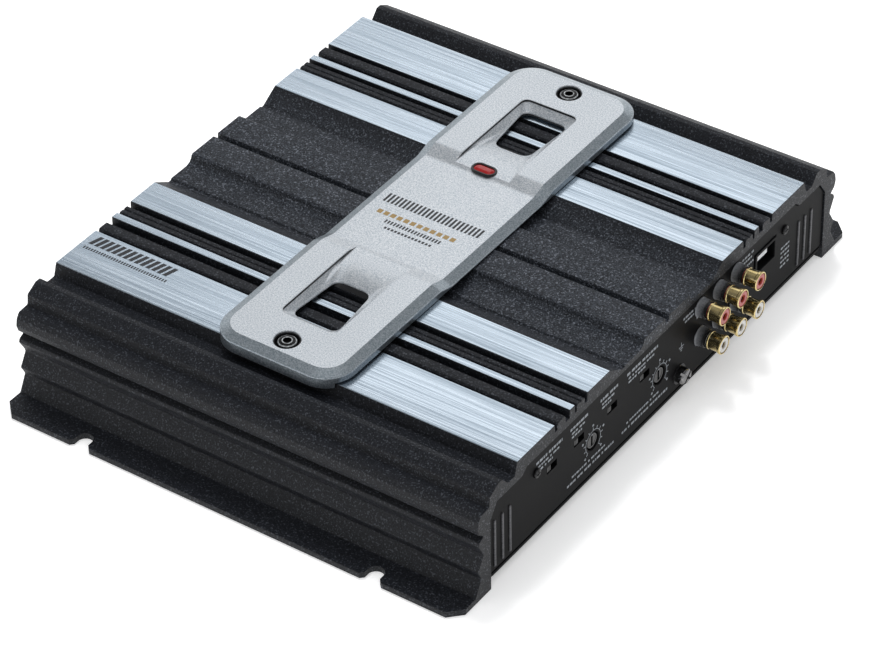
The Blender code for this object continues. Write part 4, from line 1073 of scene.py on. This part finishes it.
def dashes(start, stop, z, tall, seed):
    """A row of short plain bars of uneven length, standing for a line of label print."""
    bars, at, turn = [], start, seed
    while at < stop - 0.4:
        turn = (turn * 73 + 41) % 97
        wide = min(0.7 + turn / 97 * 1.3, stop - at)
        bars.append(mark(at, z, wide, tall))
        at += wide + (1.1 if turn % 5 == 0 else 0.45)
    return bars


def arc_marks(place, radius, wide, first, last, count, long):
    """Ticks round a dial, from one angle to another, each pointing at its centre."""
    ticks = []
    for step in range(count):
        angle = radians(first + (last - first) * step / (count - 1))
        tick = box((PANEL_FACE - INK, -wide / 2, radius), (PANEL_FACE + INK, wide / 2, radius + long))
        matrix = Matrix.Translation((0, place.y, place.z)) @ Matrix.Rotation(angle, 4, "X")
        bmesh.ops.transform(tick, matrix=matrix, verts=tick.verts)
        ticks.append(tick)
    return ticks


def arc_line(place, radius, thick, first, last):
    """A thin arc round a dial."""
    rows = []
    for step in range(41):
        angle = radians(first + (last - first) * step / 40)
        row = []
        for out, far in ((-INK, 0), (INK, 0), (INK, thick), (-INK, thick)):
            side, up = (radius + far) * sin(angle), (radius + far) * cos(angle)
            row.append((PANEL_FACE + out, place.y - side, place.z + up))
        rows.append(row)
    return lofted(rows)


print_works = []
for group, (start, stop) in enumerate(((-82, -66), (-61, -50), (-42, -31), (-25, -5))):
    print_works += dashes(start, stop, 34.4, 1.1, 7 + group * 5)
    print_works += dashes(start + 1, stop - 2, 32.4, 0.8, 3 + group * 11)
    print_works += dashes(start + 1, (start + stop) / 2 + 2, 30.7, 0.8, 9 + group * 3)
for place in dial_places:
    print_works.append(arc_line(place, 4.6 * MM, 0.22 * MM, -135, 135))
    print_works += arc_marks(place, 5.0 * MM, 0.35 * MM, -135, 135, 11, 1.0 * MM)
    print_works += arc_marks(place, 6.6 * MM, 0.9 * MM, -135, 135, 5, 0.9 * MM)
for start, stop in ((-63, -33), (-28, 2)):
    print_works += dashes(start + 3, stop - 6, 12.9, 0.8, start % 13 + 2)
    print_works += dashes(start, stop, 10.4, 0.9, start % 17 + 3)
for step, wide in enumerate((3.2, 2.0, 0.9)):
    print_works.append(mark(11 - wide / 2, 23.6 - step * 0.9, wide, 0.35))
print_works.append(mark(10.85, 23.9, 0.3, 1.6))
print_works += dashes(12, 20, 34.8, 0.9, 5) + dashes(13, 19, 33.0, 0.8, 12)
print_works += dashes(52, 60, 35.2, 0.9, 8) + dashes(53, 59, 33.4, 0.8, 4) + dashes(53, 60, 31.0, 0.8, 15)
for z in (14.5, 16.6, 18.7, 20.8, 22.9):
    print_works += dashes(80, 86, z, 0.8, int(z * 3))
print_works.append(mark(21, 29.6, 1.2, 1.2))
print_works.append(mark(20.6, 17.6, 1.2, 1.2))
piece("control_panel_print", joined(*print_works), ink, smooth=0)


# RCA jacks: six sockets moulded on one block. Each has a black boss through the panel, a turned and gilded
# barrel, and a coloured insert round the centre contact: red above, white below.
block_low, block_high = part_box("jack_block")
barrel_low, barrel_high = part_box("jack_shell_1")
BARREL_RADIUS = (barrel_high.y - barrel_low.y) / 2
BARREL_WALL = 0.5 * MM
BARREL_START = barrel_low.x
BARREL_END = barrel_high.x


def gilt(wire, place):
    """Thin gold plate over turned brass, with fine turning lines."""
    turning = place.scaled((9000, 60, 60)).noise(1, 2)
    cloud = place.noise(500, 2)
    return {
        "Base Color": mixed(cloud, (0.54, 0.41, 0.16), (0.78, 0.65, 0.36)),
        "Metallic": 1.0,
        "Roughness": 0.12 + 0.12 * turning,
        "Normal": bumped(turning, 0.006 * MM, 0.4),
    }


def insert_plastic(name, dark, light):
    def make(wire, place):
        skin = place.noise(900, 2)
        return {"Base Color": mixed(skin, dark, light), "Roughness": 0.3 + 0.1 * skin, "Coat Weight": 0.3}
    return finish(name, make)


def boss_highlight_paint(wire, place):
    """Moulded black plastic, with a painted highlight: pale round each boss where it meets the panel, fading
    to black 3.2 mm out.
    """
    out = place.part("X").over(PANEL_FACE + 0.2 * MM, PANEL_FACE + 3.2 * MM)
    skin = place.noise(1500, 2)
    # painted highlight, palest at the panel face
    pale = (1 - out) * place.part("X").above(PANEL_FACE)
    black = mixed(skin, (0.007, 0.007, 0.008), (0.012, 0.012, 0.013))
    return {"Base Color": mixed(pale, black, (0.3, 0.31, 0.33)), "Roughness": 0.22 + 0.12 * skin}


gold = finish("gold_plate", gilt)
boss_highlighted_black = finish("black_plastic_painted_highlight", boss_highlight_paint)
red_insert = insert_plastic("red_insert_plastic", (0.36, 0.02, 0.02), (0.52, 0.05, 0.035))
white_insert = insert_plastic("white_insert_plastic", (0.6, 0.58, 0.54), (0.78, 0.77, 0.74))
housing = [box(block_low, (PANEL_BACK - 0.3 * MM, block_high.y, block_high.z))]
BOSS_TIP = BOSS_RADIUS - 0.6 * MM
for place in jack_places:
    boss = [(0, PANEL_BACK - MM), (BOSS_RADIUS, PANEL_BACK - MM), (BOSS_RADIUS, PANEL_FACE + 0.3 * MM)]
    boss += [(BOSS_RADIUS - 0.15 * MM, PANEL_FACE + 0.5 * MM)]
    boss += [(BOSS_RADIUS - 0.35 * MM, PANEL_FACE + 3.3 * MM), (BOSS_TIP, PANEL_FACE + 3.4 * MM)]
    boss += [(BOSS_TIP, BARREL_START - 0.3 * MM), (0, BARREL_START - 0.3 * MM)]
    housing.append(turned_at(boss, place))
block = piece("jack_housing", joined(*housing), boss_highlighted_black)
inner = BARREL_RADIUS - BARREL_WALL
collar = BARREL_RADIUS - 0.25 * MM
neck = collar - 0.2 * MM
barrel = [(inner, BARREL_START), (collar, BARREL_START), (collar, BARREL_START + 0.5 * MM)]
barrel += [(neck, BARREL_START + 0.7 * MM), (neck, BARREL_END - 1.5 * MM)]
barrel += [(BARREL_RADIUS, BARREL_END - 1.1 * MM), (BARREL_RADIUS, BARREL_END - 0.3 * MM)]
barrel += [(BARREL_RADIUS - 0.15 * MM, BARREL_END - 0.08 * MM), (BARREL_RADIUS - 0.4 * MM, BARREL_END)]
barrel += [(inner + 0.1 * MM, BARREL_END), (inner, BARREL_END - 0.15 * MM)]
core = [(0, BARREL_START - 0.4 * MM), (inner - 0.1 * MM, BARREL_START - 0.4 * MM)]
core += [(inner - 0.1 * MM, BARREL_END - 0.45 * MM), (inner - 0.4 * MM, BARREL_END - 0.2 * MM)]
core += [(1.7 * MM, BARREL_END - 0.2 * MM), (1.45 * MM, BARREL_END - 0.4 * MM)]
core += [(1.4 * MM, BARREL_START + 0.2 * MM), (0, BARREL_START + 0.2 * MM)]
contact = [(1.05 * MM, BARREL_START + 0.3 * MM), (1.35 * MM, BARREL_START + 0.3 * MM)]
contact += [(1.35 * MM, BARREL_END - 0.9 * MM), (1.05 * MM, BARREL_END - 0.9 * MM)]
for number, place in enumerate(jack_places, 1):
    made = piece(f"jack_barrel_{number}", turned_at(barrel, place, 56), gold)
    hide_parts(f"jack_shell_{number}")
    colour = red_insert if number > 3 else white_insert
    piece(f"jack_insert_{number}", turned_at(core, place, 40), colour)
    piece(f"jack_contact_{number}", turned_at(contact, place, 24), gold)
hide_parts("jack_block")


# Gain controls: slotted black dials on small potentiometers behind the panel. Each has a pale pointer line
# and turns on its own body.
for letter, place in zip("ab", dial_places):
    body = f"gain_dial_{letter}"
    low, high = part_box(body)
    face = high.x
    profile = [(0, low.x), (1.5 * MM, low.x), (1.5 * MM, face - 1.6 * MM), (DIAL_RADIUS, face - 1.6 * MM)]
    profile += [(DIAL_RADIUS, face - 0.4 * MM), (DIAL_RADIUS - 0.4 * MM, face)]
    profile += [(DIAL_RADIUS - 1.0 * MM, face), (DIAL_RADIUS - 1.1 * MM, face - 0.12 * MM)]
    profile += [(0, face - 0.12 * MM)]
    disc = turned_at(profile, place)
    dial = piece(f"gain_dial_disc_{letter}", disc, gloss_black, body)
    corner = (face + MM, place.y + 0.55 * MM, place.z + 2.2 * MM)
    cut(dial, box((face - 0.9 * MM, place.y - 0.55 * MM, place.z - 2.2 * MM), corner))
    finished(dial, body)
    corner = (face + 0.04 * MM, place.y + 0.22 * MM, place.z + 2.85 * MM)
    line = box((face - 0.06 * MM, place.y - 0.22 * MM, place.z + 2.3 * MM), corner)
    piece(f"gain_dial_pointer_{letter}", line, ink, body, smooth=0)


# Slide switches: a plated steel can behind the panel and a ribbed black knob that slides in its slot. Each
# knob rides on its own body.
for number, (low, high) in enumerate(switch_boxes, 1):
    body, wide = f"switch_knob_{number}", high.y - low.y
    knob = [box(low, (high.x - 0.5 * MM, high.y, high.z))]
    for ridge in range(3):
        start = low.y + wide * (0.08 + 0.3 * ridge)
        corner = (high.x, start + 0.22 * wide, high.z - 0.1 * MM)
        knob.append(box((high.x - 0.6 * MM, start, low.z + 0.1 * MM), corner))
    name = f"switch_slider_{number}"
    made = piece(name, joined(*knob), gloss_black, body, bevel=0.08 * MM)
    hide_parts(body)


# Ground terminal: a cheese-head screw turned from steel and nickelled dark, with a cross slot. It holds a
# lead down on a round black washer, and turns on its own body.
def slotted_head(name, node, direction, sizes, made, slots, turn):
    """A flat-topped screw with a driver slot, or two across each other, on a ribbed shank. Its sizes are
    the head's radius and height, and the shank's radius and length."""
    head, thick, shank, length = sizes
    profile = [(0, -length), (shank - 0.3 * MM, -length), (shank, 0.5 * MM - length)]
    pitch, at = 0.7 * MM, 0.7 * MM - length
    while at < -1.2 * MM:
        profile += [(shank, at), (shank - 0.22 * MM, at + pitch / 2)]
        at += pitch
    profile += [(shank, -MM), (shank, 0), (head - 0.15 * MM, 0), (head, 0.15 * MM), (head, 0.7 * thick)]
    profile += [(0.96 * head, 0.82 * thick), (0.86 * head, 0.93 * thick), (0.7 * head, thick), (0, thick)]
    cutters = []
    for extra in range(slots):
        slot = box((-head - MM, -0.45 * MM, 0.5 * thick), (head + MM, 0.45 * MM, thick + MM))
        matrix = Matrix.Rotation(turn + extra * pi / 2, 3, "Z")
        bmesh.ops.rotate(slot, verts=slot.verts, cent=(0, 0, 0), matrix=matrix)
        cutters.append(slot)
    fitted_screw(name, node, direction, profile, thick, made, cutters, node)


def nickelled(wire, place):
    """Dark bright nickel, polished, with a few finger-dulled patches."""
    dull = place.noise(600, 3).over(0.5, 0.75)
    colour = mixed(dull, (0.2, 0.2, 0.205), (0.3, 0.29, 0.28))
    return {"Base Color": colour, "Metallic": 1.0, "Roughness": 0.08 + 0.15 * dull}


dark_nickel = finish("dark_nickel_plate", nickelled)
sizes = (3.2 * MM, 3.4 * MM, 1.9 * MM, 5.5 * MM)
slotted_head("ground_terminal_screw", "ground_screw", (1, 0, 0), sizes, dark_nickel, 2, pi / 4)
washer = [(2.2 * MM, PANEL_FACE + 0.02 * MM), (4.0 * MM, PANEL_FACE + 0.02 * MM)]
washer += [(4.0 * MM, PANEL_FACE + 0.2 * MM), (3.9 * MM, PANEL_FACE + 0.27 * MM)]
washer += [(2.2 * MM, PANEL_FACE + 0.27 * MM)]
piece("ground_washer", turned_at(washer, ground_place, 40), black_steel)


# Speaker-level input socket: a black shell, let in through the panel, with a milky white nylon carrier
# inside for its four tinned pins.
def nylon(wire, place):
    """Milky moulded nylon."""
    milk = place.noise(300, 3)
    colour = mixed(milk, (0.66, 0.68, 0.7), (0.8, 0.81, 0.8))
    return {"Base Color": colour, "Roughness": 0.35 + 0.1 * milk, "Subsurface Weight": 0.05}


def zinc_plate(wire, place):
    """Bright zinc on steel, with soft cloudy patches and fine drawn lines."""
    cloud = place.noise(260, 3).over(0.35, 0.7)
    fine = place.noise(6000, 2)
    return {
        "Base Color": mixed(cloud, (0.5, 0.5, 0.5), (0.72, 0.73, 0.74)),
        "Metallic": 1.0,
        "Roughness": 0.22 + 0.16 * cloud,
        "Normal": bumped(fine, 0.008 * MM, 0.4),
    }


nylon_white = finish("white_nylon", nylon)
zinc = finish("zinc_plated_steel", zinc_plate)
SOCKET_WALL = 1.4 * MM
SOCKET_DEPTH = 9 * MM
SOCKET_MOUTH, SOCKET_FLOOR = socket_high.x, socket_high.x - SOCKET_DEPTH
socket_y, socket_z = (socket_low.y + socket_high.y) / 2, (socket_low.z + socket_high.z) / 2
socket_wide, socket_tall = (socket_high.y - socket_low.y) / 2, (socket_high.z - socket_low.z) / 2


def socket_line(shrink, soft):
    wide, tall = socket_wide - shrink, socket_tall - shrink
    return four_sided((socket_y - wide, socket_z - tall), (socket_y + wide, socket_z + tall), soft)


rows = [(socket_low.x, 0.0, 0.6), (SOCKET_MOUTH - 0.2 * MM, 0.0, 0.6), (SOCKET_MOUTH, 0.2 * MM, 0.5)]
rows += [(SOCKET_MOUTH, SOCKET_WALL - 0.2 * MM, 0.4), (SOCKET_MOUTH - 0.3 * MM, SOCKET_WALL, 0.4)]
rows += [(SOCKET_FLOOR, SOCKET_WALL, 0.4)]
socket_rings = [set_along(socket_line(shrink, soft * MM), "X", x) for x, shrink, soft in rows]
socket = piece("input_socket_shell", lofted(socket_rings), panel_black)
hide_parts("input_socket")
pins = []
for column in (-1, 1):
    for row in (-1, 1):
        y, z, half = socket_y + column * 2.6 * MM, socket_z + row * 1.7 * MM, 0.35 * MM
        corner = (SOCKET_MOUTH - 2.4 * MM, y + half, z + half)
        pins.append(box((SOCKET_FLOOR - 0.5 * MM, y - half, z - half), corner))
piece("input_socket_pins", joined(*pins), zinc, bevel=0.1 * MM)
inside = socket_wide - SOCKET_WALL - 0.1 * MM
top = socket_z + socket_tall - SOCKET_WALL - 0.1 * MM
corner = (SOCKET_MOUTH - 0.9 * MM, socket_y + 0.35 * inside, top)
carrier = box((SOCKET_FLOOR - 0.5 * MM, socket_y - inside, socket_z + 0.4 * MM), corner)
piece("input_socket_carrier", carrier, nylon_white, bevel=0.2 * MM)


# Power panel: the same coated steel plate in the extrusion's other end, held by two screws and cut out for
# the terminal blocks and the fuse holder.
rear_low, rear_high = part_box("power_panel")
power_panel = panel_plate("power_face_plate", -1, rear_low, rear_high)
REAR_FACE = rear_low.x
cuts = []
for node in ("speaker_block", "power_block", "fuse_holder"):
    low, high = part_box(node)
    clear = 0.3 * MM
    corner = (rear_high.x + MM, high.y + clear, high.z + clear)
    cuts.append(box((REAR_FACE - MM, low.y - clear, low.z - clear), corner))
for end in ("near", "far"):
    place = centre_of(f"power_panel_screw_{end}")
    cuts.append(bore_at(place, 1.6 * MM, REAR_FACE - MM, rear_high.x + MM, 24))
cut(power_panel, *cuts)
finished(power_panel, "power_panel")


# Terminal blocks: moulded black nylon with a barrier between each pair of bays. In each bay a screw clamps
# a lug onto a tinned plate.
def moulded(wire, place):
    """Black glass-filled nylon with a faint flow mottle."""
    mottle = place.noise(700, 3)
    return {
        "Base Color": mixed(mottle, (0.008, 0.008, 0.009), (0.016, 0.016, 0.017)),
        "Roughness": 0.36 + 0.14 * mottle,
        "Normal": bumped(place.noise(3500, 2), 0.015 * MM, 0.4),
    }


nylon_black = finish("black_filled_nylon", moulded)


BARRIER = 1.8 * MM


def terminal_strip(label, bays, bay, head, shank):
    """A moulded strip with open bays, each with a well for its screw and a tinned plate with a foot."""
    low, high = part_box(f"{label}_block")
    seat = rear_high.x - 2 * MM - 0.6 * MM
    outline = [(high.x, low.y), (low.x, low.y)]
    radii = [0, 0.4 * MM]
    for number in range(bays):
        y = low.y + BARRIER + number * (bay + BARRIER)
        outline += [(low.x, y), (seat, y), (seat, y + bay), (low.x, y + bay)]
        radii += [0.4 * MM, 0.3 * MM, 0.3 * MM, 0.4 * MM]
    outline += [(low.x, high.y), (high.x, high.y)]
    radii += [0.4 * MM, 0]
    line = rounded(outline, radii)
    edge = 0.3 * MM
    rings = [set_along(inset(line, edge), "Z", low.z), set_along(line, "Z", low.z + edge)]
    rings += [set_along(line, "Z", high.z - edge), set_along(inset(line, edge), "Z", high.z)]
    strip = piece(f"{label}_strip", lofted(rings), nylon_black)
    front, back = seat - 0.22 * MM, seat - 0.02 * MM
    hole, rim, half = shank + 0.3 * MM, head + 0.1 * MM, bay / 2 - 0.5 * MM
    wells, plates = [], []
    for number in range(1, bays + 1):
        place = centre_of(f"{label}_screw_{number}")
        wells.append(bore_at(place, hole, seat - MM, high.x - 1.5 * MM, 24))
        plates.append(turned_at([(hole, back), (rim, back), (rim, front), (hole, front)], place, 32))
        corner = (back, place.y + half, place.z - head - 0.3 * MM)
        plates.append(box((front, place.y - half, low.z + MM), corner))
    cut(strip, *wells)
    finished(strip, f"{label}_block")
    piece(f"{label}_plates", joined(*plates), zinc, smooth=radians(30))


# (label, bays, a bay's width, the screws' head and shank radius, driver slots)
TERMINALS = (("speaker", 8, 6.6 * MM, 2.6 * MM, 1.4 * MM, 1), ("power", 3, 11 * MM, 3.6 * MM, 1.9 * MM, 2))
for label, bays, bay, head, shank, slots in TERMINALS:
    terminal_strip(label, bays, bay, head, shank)
for label, bays, bay, head, shank, slots in TERMINALS:
    sizes = (head, 2.2 * MM, shank, 6 * MM)
    for number in range(1, bays + 1):
        name, node = f"{label}_terminal_{number}", f"{label}_screw_{number}"
        slotted_head(name, node, (-1, 0, 0), sizes, zinc, slots, number * 0.7)


# Fuses: two blade fuses, each a moulded head of clear amber plastic over two zinc blades. They push into a
# moulded black holder, and each slides out on its own body.
def amber(wire, place):
    cloud = place.noise(250, 2)
    return {
        "Base Color": mixed(cloud, (0.62, 0.22, 0.01), (0.8, 0.36, 0.03)),
        "Roughness": 0.12 + 0.08 * cloud,
        "Coat Weight": 0.6,
        "Subsurface Weight": 0.1,
    }


amber_plastic = finish("amber_fuse_plastic", amber)
holder_low, holder_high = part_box("fuse_holder")
fuse_boxes = [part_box(f"fuse_{number}") for number in (1, 2)]
FUSE_HEAD_BACK = fuse_boxes[0][0].x + 3.4 * MM + 6.65 * MM
BLADE_IN = 3.5 * MM


def grown_outline(low, high, gap, soft):
    """The outline of a box in Y and Z, moved out by a gap."""
    return four_sided((low.y - gap, low.z - gap), (high.y + gap, high.z + gap), soft)


def bar(start, stop, y, z, half_wide, half_tall):
    """A bar along X, centred on a place across it."""
    return box((start, y - half_wide, z - half_tall), (stop, y + half_wide, z + half_tall))


outer = grown_outline(holder_low, holder_high, 0, 0.8 * MM)
rows = [(holder_high.x, outer), (holder_low.x + 0.3 * MM, outer), (holder_low.x, inset(outer, 0.3 * MM))]
work = lofted([set_along(row, "X", x) for x, row in rows])
holder = piece("fuse_cradle", work, nylon_black)
wells, blade_wells = [], []
for low, high in fuse_boxes:
    middle = (low.y + high.y) / 2
    well = grown_outline(low, high, RUNNING, 0.5 * MM)
    wells.append(prism(well, "X", holder_low.x - MM, holder_low.x + 7 * MM))
    for z in (low.z + BLADE_IN, high.z - BLADE_IN):
        blade_wells.append(bar(holder_low.x + 6 * MM, high.x + 0.4 * MM, middle, z, 0.8 * MM, 2.9 * MM))
cut(holder, *wells)
cut(holder, *blade_wells)
finished(holder, "fuse_holder")
for number, (low, high) in enumerate(fuse_boxes, 1):
    body = f"fuse_{number}"
    middle = (low.y + high.y) / 2
    line = grown_outline(low, high, 0, 0.7 * MM)
    waist = inset(line, 0.35 * MM)
    rows = [(FUSE_HEAD_BACK, inset(line, 0.3 * MM)), (FUSE_HEAD_BACK - 0.4 * MM, line)]
    rows += [(low.x + 2.6 * MM, line), (low.x + 2.2 * MM, waist), (low.x + 1.4 * MM, waist)]
    rows += [(low.x + 1.0 * MM, line), (low.x + 0.4 * MM, line), (low.x, inset(line, 0.4 * MM))]
    work = lofted([set_along(row, "X", x) for x, row in rows])
    head = piece(f"fuse_head_{number}", work, amber_plastic, body)
    pockets, blades = [], []
    for z in (low.z + BLADE_IN, high.z - BLADE_IN):
        pockets.append(bar(low.x - MM, low.x + 1.1 * MM, middle, z, 0.7 * MM, 1.0 * MM))
        blades.append(bar(FUSE_HEAD_BACK - MM, high.x, middle, z, 0.4 * MM, 2.5 * MM))
        blades.append(bar(low.x + 0.5 * MM, low.x + 1.3 * MM, middle, z, 0.3 * MM, 0.9 * MM))
    cut(head, *pockets)
    finished(head, body)
    piece(f"fuse_blades_{number}", joined(*blades), zinc, body, bevel=0.1 * MM)


# Base plate: sheet steel in the same black powder coat, screwed to the ledges inside the extrusion, with
# four pressed stiffening beads along it.
base_low, base_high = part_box("base_plate")
BEAD_HALF = 3 * MM
BASE_EDGE = 0.2 * MM
base_line = four_sided((base_low.x, base_low.y), (base_high.x, base_high.y), 1.5 * MM)
eased = inset(base_line, BASE_EDGE)
base_rings = [set_along(eased, "Z", base_low.z), set_along(base_line, "Z", base_low.z + BASE_EDGE)]
base_rings += [set_along(base_line, "Z", base_high.z - BASE_EDGE), set_along(eased, "Z", base_high.z)]
base = piece("base_sheet", lofted(base_rings), panel_black)
cuts = []
for row in ("rear", "front"):
    for end in ("near", "far"):
        place = centre_of(f"base_screw_{row}_{end}")
        profile = [(0, base_low.z - MM), (1.8 * MM, base_low.z - MM)]
        profile += [(1.8 * MM, base_high.z + MM), (0, base_high.z + MM)]
        cuts.append(turned(profile, (place.x, place.y, 0), (0, 0, 1), 24))
reach = base_high.x - MIDDLE - 22 * MM
for y in (-66, -22, 22, 66):
    low, high = (MIDDLE - reach, y * MM - BEAD_HALF), (MIDDLE + reach, y * MM + BEAD_HALF)
    groove = four_sided(low, high, BEAD_HALF * 0.98)
    rows = []
    for shrink, deep in ((-0.6, -0.4), (0, 0.1), (1.2, 0.6), (1.8, 0.65)):
        rows.append(set_along(inset(groove, shrink * MM), "Z", base_low.z + deep * MM))
    cuts.append(lofted(rows))
cut(base, *cuts)
finished(base, "base_plate")


# Inside: the circuit board with its transformer, capacitors and controls, and the bars of zinc-coated sheet
# that clamp the transistors to the extrusion. The case hides them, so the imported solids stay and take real
# finishes.
def board_green(wire, place):
    """Solder mask over copper tracks on glass board."""
    inputs = {"Vector": place, "Scale": 90.0, "Mortar Size": 0.02}
    tracks = place.node("TexBrick", {"offset": 0.35}, inputs, 1)
    weave = place.noise(1200, 2)
    return {
        "Base Color": mixed(tracks, (0.01, 0.1, 0.035), (0.03, 0.2, 0.07)),
        "Roughness": 0.3 + 0.12 * weave,
        "Coat Weight": 0.3,
    }


def copper_turns(wire, place):
    """Enamelled copper wire wound round a ring."""
    settings = {"wave_type": "RINGS", "rings_direction": "Z"}
    turns = place.node("TexWave", settings, {"Vector": place, "Scale": 420.0, "Distortion": 1.5}, 1)
    return {
        "Base Color": mixed(turns, (0.25, 0.08, 0.02), (0.7, 0.3, 0.12)),
        "Metallic": 0.8,
        "Roughness": 0.2 + 0.2 * turns,
        "Normal": bumped(turns, 0.2 * MM, 0.5),
    }


def galvanised(wire, place):
    """Hot-dip zinc with its patchwork of crystals."""
    cells = place.node("TexVoronoi", {"feature": "F1"}, {"Vector": place, "Scale": 140.0}, 1)
    tone = cells.node("SeparateColor", {}, {0: cells}, 0)
    fine = place.noise(2500, 3)
    return {
        "Base Color": mixed(tone, (0.32, 0.33, 0.35), (0.5, 0.51, 0.53)),
        "Metallic": 0.9,
        "Roughness": 0.34 + 0.14 * tone,
        "Normal": bumped(fine, 0.02 * MM, 0.4),
    }


def can_wrap(wire, place):
    """Shrunk blue-black sleeve on an aluminium can."""
    sheen = place.noise(200, 2)
    colour = mixed(sheen, (0.01, 0.016, 0.05), (0.025, 0.035, 0.1))
    return {"Base Color": colour, "Roughness": 0.22 + 0.1 * sheen}


solder_mask = finish("green_solder_mask", board_green)
copper_wire = finish("enamelled_copper_wire", copper_turns)
sleeve = finish("capacitor_sleeve", can_wrap)
sheet_zinc = finish("galvanised_sheet", galvanised)
interior = {
    "circuit_board": solder_mask,
    "supply_transformer": copper_wire,
    "reservoir_capacitor_1": sleeve,
    "reservoir_capacitor_2": sleeve,
    "gain_pot_a": nylon_black,
    "gain_pot_b": nylon_black,
    "transistor_clamp_near": sheet_zinc,
    "transistor_clamp_far": sheet_zinc,
}
for number in range(1, 5):
    interior[f"switch_body_{number}"] = zinc
for node, made in interior.items():
    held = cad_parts[node]
    if not held.data.materials:
        held.data.materials.append(made)
    for held_slot in held.material_slots:
        held_slot.material = made


low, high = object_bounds()
